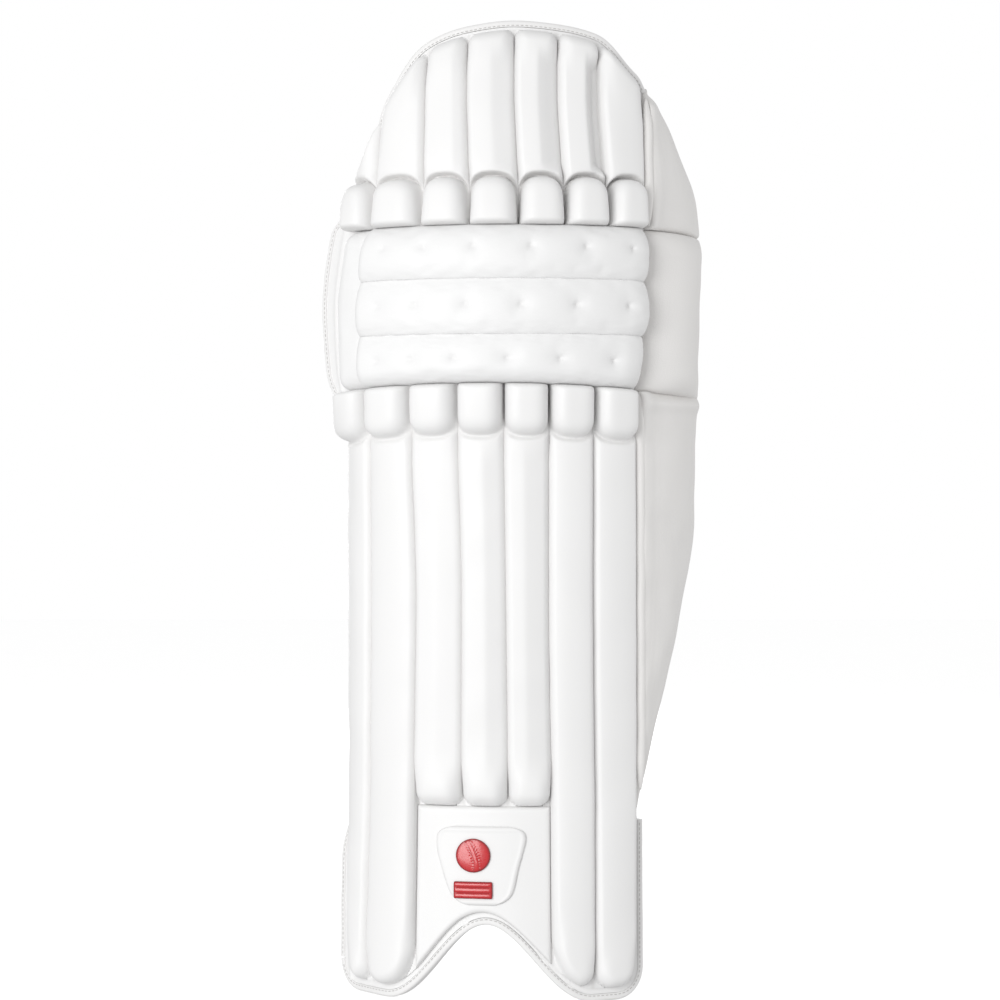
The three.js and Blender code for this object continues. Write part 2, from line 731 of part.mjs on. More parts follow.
// Turns a mesh made along +Y so that it stands straight out of the pattern, and seats it there
function seatOn(mesh, across, level, out) {
  const here = bend(across, level, out);
  const sideways = bend(across + 1, level, out).sub(here);
  const upwards = bend(across, level + 1, out).sub(here);
  mesh.quaternion.setFromUnitVectors(new THREE.Vector3(0, 1, 0), sideways.cross(upwards).normalize());
  mesh.position.copy(here);
}

// Patch below the middle rolls, with a plain raised ball and bar on it
function badge() {
  const levelAt = share => patchLevel + share * patchLength;
  const stops = patchOutline.map(row => levelAt(row.up));
  const side = (column, level) =>
    patchAcross + patchWidth * through(stops, patchOutline.map(row => row[column]), level);
  const shares = [0, 0.1, 0.3, 0.5, 0.7, 0.9, 1];
  const patch = between(stops, level => side("left", level), level => side("right", level), shares);
  const lastC = shares.length - 1;
  const lastR = stops.length - 1;
  const base = instepHeight + clearance;
  const over = (c, r) => base + patchHeight * (c === 0 || c === lastC || r === 0 || r === lastR ? 0.5 : 1);
  add("badge_patch", sheet(patch, () => base, over), leather);

  const seat = base + patchHeight + clearance;
  const dome = new THREE.LatheGeometry([
    new THREE.Vector2(0, 0),
    new THREE.Vector2(ballRadius, 0),
    new THREE.Vector2(ballRadius, 0.4 * emblemHeight),
    new THREE.Vector2(0.82 * ballRadius, 0.85 * emblemHeight),
    new THREE.Vector2(0.4 * ballRadius, emblemHeight),
    new THREE.Vector2(0, emblemHeight),
  ], 20);
  seatOn(add("badge_ball", dome, red), ballAcross, ballLevel, seat);

  const barLevels = [0, 0.25, 0.75, 1].map(share => barLevel + share * barLength);
  const barShares = [0, 0.12, 0.5, 0.88, 1];
  const barSide = sign => level => {
    const end = level < barLevel + barCorner || level > barLevel + barLength - barCorner;
    return ballAcross + sign * (barWidth / 2 - (end ? barCorner : 0));
  };
  const bar = between(barLevels, barSide(-1), barSide(1), barShares);
  add("badge_bar", sheet(bar, () => seat, () => seat + emblemHeight), red);
}

// Strap: a flat band from the inner face beside one edge, round behind the leg, to the other
function strap({ name, level, reach }) {
  const inner = -boardThickness - 2 * clearance - strapThickness / 2;
  const centreLine = z => {
    const from = leftEdge(z) + strapInset;
    const to = rightEdge(z) - strapInset;
    const place = across => {
      const p = bend(across, z, inner);
      return new THREE.Vector2(p.x, p.y);
    };
    const tab = [1, 0.66, 0.33, 0].map(share => place(from + share * strapTab));
    const otherTab = [0, 0.33, 0.66, 1].map(share => place(to - share * strapTab));
    const back = strapReach * reach - strapThickness / 2;
    const start = tab.at(-1);
    const end = otherTab[0];
    const lifted = (a, b, turn) =>
      b.clone().sub(a).normalize().rotateAround(new THREE.Vector2(), turn * degrees);
    const leave = lifted(tab.at(-2), start, -strapLift);
    const arrive = lifted(otherTab[1], end, strapLift);
    const middle = start.clone().lerp(end, 0.5).setY(back);
    const pull = strapPull * (back - Math.max(start.y, end.y));
    const flat = strapFlat * (end.x - start.x);
    const curves = [
      new THREE.CubicBezierCurve(start, start.clone().addScaledVector(leave, pull),
        middle.clone().setX(middle.x - flat), middle),
      new THREE.CubicBezierCurve(middle, middle.clone().setX(middle.x + flat),
        end.clone().addScaledVector(arrive, pull), end),
    ];
    return [...tab, ...curves[0].getPoints(9).slice(1), ...curves[1].getPoints(9).slice(1), ...otherTab.slice(1)];
  };
  const bottom = centreLine(level);
  const top = centreLine(level + strapWidth);
  const side = (line, k) => {
    const along = line[Math.min(k + 1, line.length - 1)].clone().sub(line[Math.max(k - 1, 0)]).normalize();
    return new THREE.Vector2(-along.y, along.x).multiplyScalar(strapThickness / 2);
  };
  const points = bottom.flatMap((p, k) => {
    const low = side(bottom, k);
    const high = side(top, k);
    const q = top[k];
    return [
      new THREE.Vector3(p.x - low.x, p.y - low.y, level),
      new THREE.Vector3(p.x + low.x, p.y + low.y, level),
      new THREE.Vector3(q.x + high.x, q.y + high.y, level + strapWidth),
      new THREE.Vector3(q.x - high.x, q.y - high.y, level + strapWidth),
    ];
  });
  const triangles = [[0, 1, 2], [0, 2, 3]];
  for (let s = 0; s < bottom.length - 1; s++) {
    for (let k = 0; k < 4; k++) {
      const a = 4 * s + k;
      const b = 4 * s + (k + 1) % 4;
      triangles.push([b, a, a + 4], [b, a + 4, b + 4]);
    }
  }
  const end = points.length - 4;
  triangles.push([end + 2, end + 1, end], [end + 3, end + 2, end]);
  add(name, toGeometry(points, triangles), webbing);
}

backingBoard();
shinRolls();
thighRolls();
kneeRolls();
kneeSidePanel();
instepPanel();
wings();
bindings();
badge();
straps.forEach(strap);

// The origin is on the floor, under the middle of the whole guard
guard.updateMatrixWorld(true);
const box = new THREE.Box3().setFromObject(guard, true);
guard.position.set(-(box.min.x + box.max.x) / 2, -(box.min.y + box.max.y) / 2, -box.min.z);

export default guard;
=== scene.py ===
import math
from functools import reduce

import bmesh
import bpy
import numpy as np
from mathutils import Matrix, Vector


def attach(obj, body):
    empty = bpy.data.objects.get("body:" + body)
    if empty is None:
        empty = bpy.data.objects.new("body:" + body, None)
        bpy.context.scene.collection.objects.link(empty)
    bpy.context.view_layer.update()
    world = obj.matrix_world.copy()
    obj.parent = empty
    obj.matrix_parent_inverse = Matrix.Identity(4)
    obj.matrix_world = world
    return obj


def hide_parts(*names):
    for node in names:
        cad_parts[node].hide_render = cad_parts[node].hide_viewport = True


# Cricket batting leg guard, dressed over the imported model. Places are worked out in millimetres
# on the guard's flat pattern: across (+ to the wing), level (above the floor) and out (away from
# the leg), and become metres where the points of a mesh are made.

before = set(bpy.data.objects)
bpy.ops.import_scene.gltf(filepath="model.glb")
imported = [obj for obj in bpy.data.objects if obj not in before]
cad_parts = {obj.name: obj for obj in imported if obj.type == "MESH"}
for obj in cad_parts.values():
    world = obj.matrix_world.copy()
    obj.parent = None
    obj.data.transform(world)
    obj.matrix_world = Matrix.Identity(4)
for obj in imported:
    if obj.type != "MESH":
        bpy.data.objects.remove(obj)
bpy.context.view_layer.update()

pattern = {
    "shinLength": 439.0,
    "kneeLength": 119.0,
    "thighLength": 153.0,
    "rollWidth": 32.0,
    "flangeWidth": 24.0,
    "wingWidth": 96.0,
    "rootWidth": 4.0,
    "archHalfWidth": 77.5,
    "archHeight": 55.0,
    "cornerRadius": 17.0,
    "soleEdge": 5.3,                      # the board's edge above the floor
    "boardThickness": 9.0,
    "origin": (-18.997, -49.710),         # the foot of the front line, in the row frame
    "frontTurn": 7.0,
    "backLean": 10.0,
    "crownLean": 22.0,
    "toeReach": 15.0,
    "kneeReach": 4.0,
    "footShare": 0.387,
    "kneeSag": 5.0,
    "gap": 0.3,                           # between neighbouring pieces
}
kneeBottom = pattern["shinLength"]
kneeTop = kneeBottom + pattern["kneeLength"]
boardTop = kneeTop + pattern["thighLength"] - pattern["soleEdge"]
gap = pattern["gap"]
halfGap = gap / 2

# The eight lines between the seven rolls, in roll widths from the front line, at seven levels,
# and where each meets the crown as a share of the board above the knee
rollLines = [
    (-3.50, -3.56, -3.66, -3.73, -3.81, -3.45, -3.12, 0.31),
    (-2.83, -2.71, -2.68, -2.73, -2.79, -2.58, -2.44, 0.63),
    (-1.62, -1.58, -1.52, -1.66, -1.56, -1.39, -1.34, 0.905),
    (-0.50, -0.50, -0.49, -0.60, -0.47, -0.34, -0.40, 0.975),
    (0.50, 0.50, 0.46, 0.41, 0.57, 0.73, 0.64, 1.0),
    (1.46, 1.44, 1.38, 1.38, 1.56, 1.73, 1.61, 0.985),
    (2.42, 2.40, 2.36, 2.37, 2.55, 2.71, 2.56, 0.944),
    (3.39, 3.40, 3.40, 3.38, 3.63, 3.63, 3.60, 0.755),
]
rimTops = {"left": (0.20, 0.25), "right": 0.69}


def easeBetween(value, low, high):
    t = np.clip((value - low) / (high - low), 0, 1)
    return t * t * (3 - 2 * t)


def zone(name, share):
    starts = {"shin": (0, kneeBottom), "knee": (kneeBottom, kneeTop), "thigh": (kneeTop, boardTop)}
    low, high = starts[name]
    return low + share * (high - low)


def curveThrough(stops, values, at):                # never overshoots between its stops
    stops, values = np.asarray(stops, float), np.asarray(values, float)
    at = np.asarray(at, float)
    rise = np.diff(values) / np.diff(stops)
    slope = np.empty(len(stops))
    slope[0], slope[-1] = rise[0], rise[-1]
    before, after = rise[:-1], rise[1:]
    same = before * after > 0
    slope[1:-1] = np.where(same, 2 * before * after / np.where(same, before + after, 1), 0)
    i = np.clip(np.searchsorted(stops, at, side="left") - 1, 0, len(stops) - 2)
    step = stops[i + 1] - stops[i]
    s = np.clip((at - stops[i]) / step, 0, 1)
    s2, s3 = s * s, s * s * s
    return (values[i] * (2 * s3 - 3 * s2 + 1) + values[i + 1] * (3 * s2 - 2 * s3)
            + step * (slope[i] * (s3 - 2 * s2 + s) + slope[i + 1] * (s3 - s2)))


def fromTable(table, level):                        # rows of (zone, share of it, value)
    stops = [zone(name, share) for name, share, value in table]
    return curveThrough(stops, [row[2] for row in table], level)


leftRim = [
    ("shin", 0, 0.66), ("shin", 0.14, 0.66), ("shin", 0.23, 0.58), ("shin", 0.33, 0.25),
    ("shin", 0.45, 0.12), ("shin", 0.91, 0.12), ("shin", 0.98, 0.27), ("knee", 0.03, 0.58),
    ("knee", 0.13, 0.8), ("knee", 0.5, 0.92), ("knee", 0.88, 0.97), ("knee", 1, 0.92),
    ("thigh", 0.07, 0.70), ("thigh", 0.14, 0.26), ("thigh", 0.21, 0.10),
]
rightRim = [
    ("shin", 0, 1.65), ("shin", 0.289, 1.65), ("shin", 0.318, 0.9), ("shin", 0.9, 0.9),
    ("knee", 0.1, 1.2), ("thigh", 0.7, 1.4),
]
lineLevels = [zone("shin", 0.08), zone("shin", 0.33), zone("shin", 0.66), zone("shin", 1),
              zone("knee", 0.5), zone("thigh", 0.06), zone("thigh", 0.62)]


def lineAt(k, level):                               # 2.5 is midway between lines 2 and 3
    k, level = np.broadcast_arrays(np.asarray(k, float), np.asarray(level, float))
    lines = np.array([curveThrough(lineLevels, row[:7], level) for row in rollLines])
    low = np.clip(np.floor(k).astype(int), 0, len(rollLines) - 2)
    left = np.take_along_axis(lines, low[None], 0)[0]
    right = np.take_along_axis(lines, low[None] + 1, 0)[0]
    return pattern["rollWidth"] * (left + (k - low) * (right - left))


def leftEdge(level):
    return lineAt(0, level) - pattern["flangeWidth"] * fromTable(leftRim, level)


def rightEdge(level):
    return lineAt(7, level) + pattern["rootWidth"] * fromTable(rightRim, level)


def boardAcross(k, level):                          # k from -1, the left edge, to 8, the right edge
    k, level = np.broadcast_arrays(np.asarray(k, float), np.asarray(level, float))
    inside = lineAt(np.clip(k, 0, 7), level)
    left = lineAt(0, level) + k * (lineAt(0, level) - leftEdge(level))
    right = lineAt(7, level) + (k - 7) * (rightEdge(level) - lineAt(7, level))
    return np.where(k < 0, left, np.where(k > 7, right, inside))


def crownLevel(k):
    stops = [-1, -0.5, 0, 1, 2, 3, 4, 5, 6, 7, 8]
    tops = [*rimTops["left"], *[row[7] for row in rollLines], rimTops["right"]]
    return zone("thigh", curveThrough(stops, tops, k))


def soleLevel(across):
    half = pattern["archHalfWidth"]
    arch = np.where(np.abs(across) < half,
                    pattern["archHeight"] * (1 + np.cos(np.pi * across / half)) / 2, 0)
    radius = pattern["cornerRadius"]
    side = np.minimum(across - leftEdge(0), rightEdge(0) - across)
    inside = np.clip(radius - side, 0, radius)
    return pattern["soleEdge"] + arch + radius - np.sqrt(radius ** 2 - inside ** 2)


def sagged(level, across):                          # the seam under the knee rises in the middle
    below = np.clip((level / pattern["shinLength"] - 0.9) / 0.1, 0, 1)
    above = np.clip(1 - (level - kneeBottom) / (pattern["kneeLength"] / 3), 0, 1)
    near = np.where(level < kneeBottom, below, above)
    middle = np.clip(1 - (across / (3.6 * pattern["rollWidth"])) ** 2, 0, 1)
    return level + near * pattern["kneeSag"] * middle


def kneeShape(level):
    return (easeBetween(level, zone("shin", 0.904), kneeBottom)
            * (1 - easeBetween(level, kneeTop, zone("thigh", 0.3))))


def lean(level):
    crown = pattern["crownLean"] * np.clip((level - kneeTop) / pattern["thighLength"], 0, None) ** 1.6
    toe = -pattern["toeReach"] * np.clip(1 - level / zone("shin", pattern["footShare"]), 0, None) ** 2
    height = kneeTop + pattern["thighLength"]
    return pattern["backLean"] * level / height + crown + toe - pattern["kneeReach"] * kneeShape(level)


bendRadii = {"front": 165.0, "side": 68.0, "kneeSide": 110.0, "footSide": 75.0, "wing": 220.0}
bendTurns = {"left": 28.5, "side": 75.0, "kneeSide": 45.0, "footSide": 50.0, "right": 33.0,
             "root": 52.0, "wing": 75.0}


def section(across, level):                         # where the board's front face is, and its heading
    across, level = np.broadcast_arrays(np.asarray(across, float), np.asarray(level, float))
    knee = kneeShape(level)
    foot = 1 - easeBetween(level, zone("shin", 0.216), zone("shin", pattern["footShare"]))

    def atLevel(sizes):
        return (sizes["side"] + knee * (sizes["kneeSide"] - sizes["side"])
                + foot * (sizes["footSide"] - sizes["side"]))

    sideRadius, sideTurn = atLevel(bendRadii), atLevel(bendTurns)
    onLeft = across < 0
    side = np.where(onLeft, -1.0, 1.0)
    radii, turns = bendRadii, bendTurns
    arcs = [
        (radii["front"], np.where(onLeft, -turns["left"], turns["right"])),
        (np.where(onLeft, sideRadius, radii["side"]), np.where(onLeft, -sideTurn, turns["root"])),
        (radii["wing"], np.where(onLeft, -sideTurn, turns["wing"])),
    ]
    heading = np.full(level.shape, -math.radians(pattern["frontTurn"]))
    left = np.abs(across)
    x, y = np.zeros(level.shape), lean(level)
    for radius, turn in arcs:
        run = np.minimum(left, radius * np.abs(np.radians(turn) - heading))
        following = heading + side * run / radius
        x = x + radius * (np.sin(following) - np.sin(heading))
        y = y + radius * (np.cos(heading) - np.cos(following))
        left = left - run
        heading = following
    return x + side * left * np.cos(heading), y + side * left * np.sin(heading), heading


def bend(across, level, out):                       # points in metres, in the row frame
    x, y, heading = section(across, level)
    level = np.broadcast_to(level, x.shape)
    shiftX, shiftY = pattern["origin"]
    return np.stack([x + out * np.sin(heading) + shiftX, y - out * np.cos(heading) + shiftY, level],
                    axis=-1) / 1000


def wobble(x, y, size, seed):                       # soft waves between -1 and 1, size apart
    rng = np.random.default_rng(seed)
    count = 6
    turns, phases = rng.uniform(0, np.pi, count), rng.uniform(0, 2 * np.pi, count)
    scales = rng.uniform(0.7, 1.5, count)
    total = 0
    for turn, phase, scale in zip(turns, phases, scales):
        along = x * np.cos(turn) + y * np.sin(turn)
        total = total + np.sin(2 * np.pi / (size * scale) * along + phase)
    return total / 3.2


def travelled(path):                                # the way from the path's start to each point
    return np.concatenate([[0], np.cumsum(np.linalg.norm(np.diff(path, axis=0), axis=1))])


def evenly(path, step):                             # the same path with its points a step apart
    lengths = travelled(path[:, :3])
    at = np.linspace(0, lengths[-1], max(3, round(lengths[-1] / step) + 1))
    return np.stack([np.interp(at, lengths, path[:, n]) for n in range(path.shape[1])], -1)


def smoothed(path, rounds):
    path = path.copy()
    for _ in range(rounds):
        path[1:-1] = 0.25 * path[:-2] + 0.5 * path[1:-1] + 0.25 * path[2:]
    return path


def unit(vectors):
    return vectors / np.linalg.norm(vectors, axis=-1, keepdims=True)


def least(*values):
    return reduce(np.minimum, values)


def most(*values):
    return reduce(np.maximum, values)


def hump(distance, width):                          # 1 where the distance is 0, almost 0 at two widths
    return np.exp(-(distance / width) ** 2)


def softMin(a, b, blend):
    return 0.5 * (a + b - np.sqrt((a - b) ** 2 + blend ** 2))


def softMax(a, b, blend):
    return 0.5 * (a + b + np.sqrt((a - b) ** 2 + blend ** 2))


def roundOff(distance, radius):                     # quarter circle from 0 at an edge to 1 inside
    t = 1 - np.clip(distance / radius, 0, 1)
    return np.sqrt(1 - t * t)


def risingFrom(share, distance, radius):            # the same, from a share of the height at the edge
    return share + (1 - share) * roundOff(distance, radius)


def closerAtEnds(count, strength=0.6):              # shares from 0 to 1, closer together at the ends
    t = np.linspace(0, 1, count)
    return (1 - strength) * t + strength * (1 - np.cos(np.pi * t)) / 2


def stepsOf(length, *stretches):                    # shares; each stretch is (up to, step) in mm
    marks, at = [0.0], 0.0
    for end, step in stretches:
        end = min(end if end > 0 else length + end, length)
        count = max(1, round((end - at) / step))
        marks.extend(at + (end - at) * (n + 1) / count for n in range(count))
        at = end
    return np.array(marks) / length


# Materials

class Value:                                        # a socket that takes part in sums
    def __init__(self, shader, socket):
        self.shader, self.socket = shader, socket

    def math(self, operation, *terms):
        return self.shader.node("ShaderNodeMath", {"operation": operation}, terms)

    def __add__(self, other):
        return self.math("ADD", self, other)

    def __radd__(self, other):
        return self.math("ADD", other, self)

    def __sub__(self, other):
        return self.math("SUBTRACT", self, other)

    def __mul__(self, other):
        return self.math("MULTIPLY", self, other)

    def clamp(self):
        return self.math("MINIMUM", self.math("MAXIMUM", self, 0.0), 1.0)


class Shader:
    def __init__(self, name):
        self.material = bpy.data.materials.new(name)
        self.material.use_nodes = True
        self.tree = self.material.node_tree
        self.surface = self.tree.nodes["Principled BSDF"]

    def node(self, kind, settings=None, values=(), out=0):
        made = self.tree.nodes.new(kind)
        for key, value in (settings or {}).items():
            setattr(made, key, value)
        pairs = values.items() if isinstance(values, dict) else enumerate(values)
        for socket, value in pairs:
            self.feed(made.inputs[socket], value)
        return Value(self, made.outputs[out])

    def feed(self, socket, value):
        if isinstance(value, Value):
            self.tree.links.new(value.socket, socket)
        else:
            socket.default_value = value

    def mark(self, name):                           # a number kept on the mesh's points
        return self.node("ShaderNodeAttribute", {"attribute_name": name}, out="Fac")

    def place(self, output="Object"):
        return self.node("ShaderNodeTexCoord", out=output)

    def noise(self, scale, detail=3.0, rough=0.5):
        return self.node("ShaderNodeTexNoise", {}, {"Vector": self.place(), "Scale": scale,
                                                    "Detail": detail, "Roughness": rough})

    def blend(self, factor, first, second):
        mixed = self.tree.nodes.new("ShaderNodeMix")
        mixed.data_type = "RGBA"
        for socket, value in ((0, factor), (6, first), (7, second)):
            self.feed(mixed.inputs[socket], value)
        return Value(self, mixed.outputs[2])

    def bump(self, height, strength, distance, **under):
        return self.node("ShaderNodeBump", {}, {"Height": height, "Strength": strength,
                                                "Distance": distance, **under})

    def finish(self, **sockets):
        names = {"colour": "Base Color", "roughness": "Roughness", "normal": "Normal",
                 "specular": "Specular IOR Level", "sheen": "Sheen Weight",
                 "sheenRoughness": "Sheen Roughness", "coat": "Coat Weight",
                 "coatRoughness": "Coat Roughness"}
        for key, value in sockets.items():
            self.feed(self.surface.inputs[names[key]], value)
        return self.material


def grey(value, warm=0.0):
    return (value + warm, value, value - warm, 1)


def leather(name, finish):
    s = Shader(name)
    pebble = s.node("ShaderNodeTexVoronoi", {"feature": "SMOOTH_F1"},
                    {"Vector": s.place(), "Scale": finish["grain"], "Smoothness": 0.7})
    crease = s.noise(finish["grain"] * 0.45, 4.0, 0.6)
    patch = s.noise(9.0, 3.0)
    scuff = s.noise(60.0, 6.0, 0.65)
    seam = s.mark("seam")
    colour = s.blend(patch, finish["colour"], finish["shade"])
    # colour darkens towards seamColour where the seam mark is high: dust along the sewn seams, and
    # painted shade in the creases round the caps and in the knee dimples
    colour = s.blend((seam * finish["dustAndShade"]).clamp(), colour, finish["seamColour"])
    rough = finish["roughness"] + (scuff - 0.5) * 0.16 + seam * 0.12
    grain = pebble * 0.7 + crease * 0.6
    folds = s.noise(130.0, 2.0, 0.4)
    fine = s.bump(grain, finish["bump"], 0.0004)
    soft = s.bump(folds, finish["folds"], 0.001, Normal=fine)
    return s.finish(colour=colour, roughness=rough, normal=soft, specular=finish["gloss"],
                    sheen=0.08, sheenRoughness=0.5)


def weave(name, finish):                            # plain weave laid on the pattern, in metres
    s = Shader(name)
    axes = s.node("ShaderNodeSeparateXYZ", {}, [s.place("UV")])
    across = Value(s, axes.socket.node.outputs[0])
    along = Value(s, axes.socket.node.outputs[1])
    turns = 2 * math.pi / finish["thread"]
    warp = s.node("ShaderNodeMath", {"operation": "SINE"}, [across * turns])
    weft = s.node("ShaderNodeMath", {"operation": "SINE"}, [along * turns])
    cloth = (warp * weft + 1.0) * 0.5
    fuzz = s.noise(2200.0, 2.0)
    patch = s.noise(14.0, 3.0)
    seam = s.mark("seam")
    colour = s.blend(patch, finish["colour"], finish["shade"])
    colour = s.blend((cloth * 0.35).clamp(), colour, finish["threadShade"])
    colour = s.blend((seam * 0.5).clamp(), colour, finish["threadShade"])
    height = cloth * 0.8 + fuzz * 0.4
    return s.finish(colour=colour, roughness=finish["roughness"] + (fuzz - 0.5) * 0.1,
                    normal=s.bump(height, finish["bump"], finish["thread"] * 0.3), specular=0.2,
                    sheen=0.3, sheenRoughness=0.4)


def vinyl(name, finish):
    s = Shader(name)
    patch = s.noise(300.0, 3.0)
    edge = s.mark("seam")
    colour = s.blend(patch, finish["colour"], finish["shade"])
    colour = s.blend((edge * 0.8).clamp(), colour, finish["edge"])
    return s.finish(colour=colour, roughness=finish["roughness"] + (patch - 0.5) * 0.1,
                    normal=s.bump(patch, 0.15, 0.0004), specular=0.5, coat=0.6, coatRoughness=0.12)


finishes = {
    # in the leather finishes the seamColour mix stands for dust along the seams and also for painted
    # shade in the creases round the caps and in the knee dimples
    "roll": {
        "colour": grey(0.88, 0.002), "shade": grey(0.86, 0.002), "seamColour": grey(0.66, 0.01),
        "dustAndShade": 0.42, "grain": 1500.0, "roughness": 0.46, "bump": 0.16, "folds": 0.05, "gloss": 0.4,
    },
    "knee": {
        "colour": grey(0.88, 0.0), "shade": grey(0.86, 0.0), "seamColour": grey(0.78, 0.005),
        "dustAndShade": 0.3, "grain": 1300.0, "roughness": 0.5, "bump": 0.2, "folds": 0.1, "gloss": 0.36,
    },
    "wing": {
        "colour": grey(0.85, 0.012), "shade": grey(0.82, 0.014), "seamColour": grey(0.72, 0.012),
        "dustAndShade": 0.35, "grain": 1200.0, "roughness": 0.56, "bump": 0.24, "folds": 0.1, "gloss": 0.32,
    },
    "tape": {
        "colour": grey(0.86, 0.004), "shade": grey(0.84, 0.004), "seamColour": grey(0.74, 0.01),
        "dustAndShade": 0.3, "grain": 1700.0, "roughness": 0.5, "bump": 0.18, "folds": 0.08, "gloss": 0.35,
    },
    "lining": {
        "colour": grey(0.80, 0.01), "shade": grey(0.77, 0.012), "threadShade": grey(0.62, 0.012),
        "thread": 0.0016, "roughness": 0.85, "bump": 0.5,
    },
    "webbing": {
        "colour": grey(0.77, 0.012), "shade": grey(0.73, 0.014), "threadShade": grey(0.55, 0.014),
        "thread": 0.0026, "roughness": 0.75, "bump": 0.7,
    },
    "thread": {
        "colour": grey(0.66, 0.01), "shade": grey(0.60, 0.01), "threadShade": grey(0.5, 0.01),
        "thread": 0.0008, "roughness": 0.6, "bump": 0.3,
    },
    "vinyl": {
        "colour": (0.62, 0.015, 0.022, 1), "shade": (0.52, 0.01, 0.016, 1),
        "edge": (0.16, 0.004, 0.006, 1), "roughness": 0.28,
    },
}
rollLeather = leather("roll leather", finishes["roll"])
kneeLeather = leather("knee leather", finishes["knee"])
wingLeather = leather("wing leather", finishes["wing"])
edgeTape = leather("edge tape", finishes["tape"])
liningCloth = weave("lining cloth", finishes["lining"])
strapWebbing = weave("strap webbing", finishes["webbing"])
sewingThread = weave("sewing thread", finishes["thread"])
redVinyl = vinyl("red vinyl", finishes["vinyl"])
print("materials made")


# Meshes

def meshFrom(name, points, faces, material, places=None, seam=0, sharp=60):
    mesh = bpy.data.meshes.new(name)
    mesh.from_pydata([tuple(p) for p in points], [], [tuple(f) for f in faces])
    mesh.polygons.foreach_set("use_smooth", [True] * len(mesh.polygons))
    if places is not None:                          # places on the pattern, in metres, for a weave
        corners = np.empty(len(mesh.loops), int)
        mesh.loops.foreach_get("vertex_index", corners)
        layer = mesh.uv_layers.new(name="UVMap")
        layer.data.foreach_set("uv", (np.asarray(places)[corners] / 1000).astype(np.float32).ravel())
    mark = mesh.attributes.new("seam", "FLOAT", "POINT")
    mark.data.foreach_set("value", np.broadcast_to(seam, len(points)).astype(np.float32))
    mesh.update()
    if sharp:
        mesh.set_sharp_from_angle(angle=math.radians(sharp))
    made = bpy.data.objects.new(name, mesh)
    bpy.context.scene.collection.objects.link(made)
    made.data.materials.append(material)
    return made


def gridFaces(wide, high, closed=True):
    def at(c, r, below=0):
        return below * wide * high + c * high + r

    c, r = np.meshgrid(np.arange(wide - 1), np.arange(high - 1), indexing="ij")
    corners = [(c, r), (c + 1, r), (c + 1, r + 1), (c, r + 1)]
    top = np.stack([at(*place) for place in corners], -1).reshape(-1, 4)
    if not closed:
        return top
    turnedOver = corners[:1] + corners[:0:-1]
    under = np.stack([at(*place, 1) for place in turnedOver], -1).reshape(-1, 4)
    rim = ([(n, 0) for n in range(wide - 1)] + [(wide - 1, n) for n in range(high - 1)]
           + [(n, high - 1) for n in range(wide - 1, 0, -1)] + [(0, n) for n in range(high - 1, 0, -1)])
    walls = [(at(*a, 1), at(*b, 1), at(*b), at(*a)) for a, b in zip(rim, rim[1:] + rim[:1])]
    return np.concatenate([top, under, np.array(walls)])


def ringFaces(rings, sides, start=0, flipped=False):        # a tube's sides and its two closed ends
    faces = []
    for low in range(start, start + (rings - 1) * sides, sides):
        for a in range(sides):
            b = (a + 1) % sides
            faces.append((low + a, low + b, low + sides + b, low + sides + a))
    last = start + (rings - 1) * sides
    faces.append(tuple(range(start, start + sides))[::-1])
    faces.append(tuple(range(last, last + sides)))
    return [face[:1] + face[:0:-1] for face in faces] if flipped else faces


def tidyMesh(piece):                                # joins the points that lie on each other
    work = bmesh.new()
    work.from_mesh(piece.data)
    bmesh.ops.remove_doubles(work, verts=work.verts, dist=1e-6)
    bmesh.ops.recalc_face_normals(work, faces=work.faces)
    work.to_mesh(piece.data)
    work.free()


# Closed padded piece over a grid of places, from its underside to its face
def padMesh(name, across, level, out, under, material, seam=0, shift=0):
    across, level, under, seam = np.broadcast_arrays(across, level, under, seam)
    points = np.concatenate([(bend(across, level, out) + shift).reshape(-1, 3),
                             bend(across, level, under).reshape(-1, 3)])
    places = np.stack([across.ravel(), level.ravel()], -1)
    return meshFrom(name, points, gridFaces(*across.shape), material, np.tile(places, (2, 1)),
                    np.tile(seam.ravel(), 2))


# Cloth simulation over every few points of a padded face, held where it is sewn down.
# Gives how far each point moves as the filling swells, in metres.
clothLook = {
    "frames": 20,
    "quality": 6,
    "pressure": 4.0,
    "slack": 0.005,                       # how much longer the cover is cut than its pattern
    "mass": 0.05,
    "stretch": 18.0,
    "stiffness": 4.0,
    "smoothing": 2,
    "most": 3.0,                          # mm
}


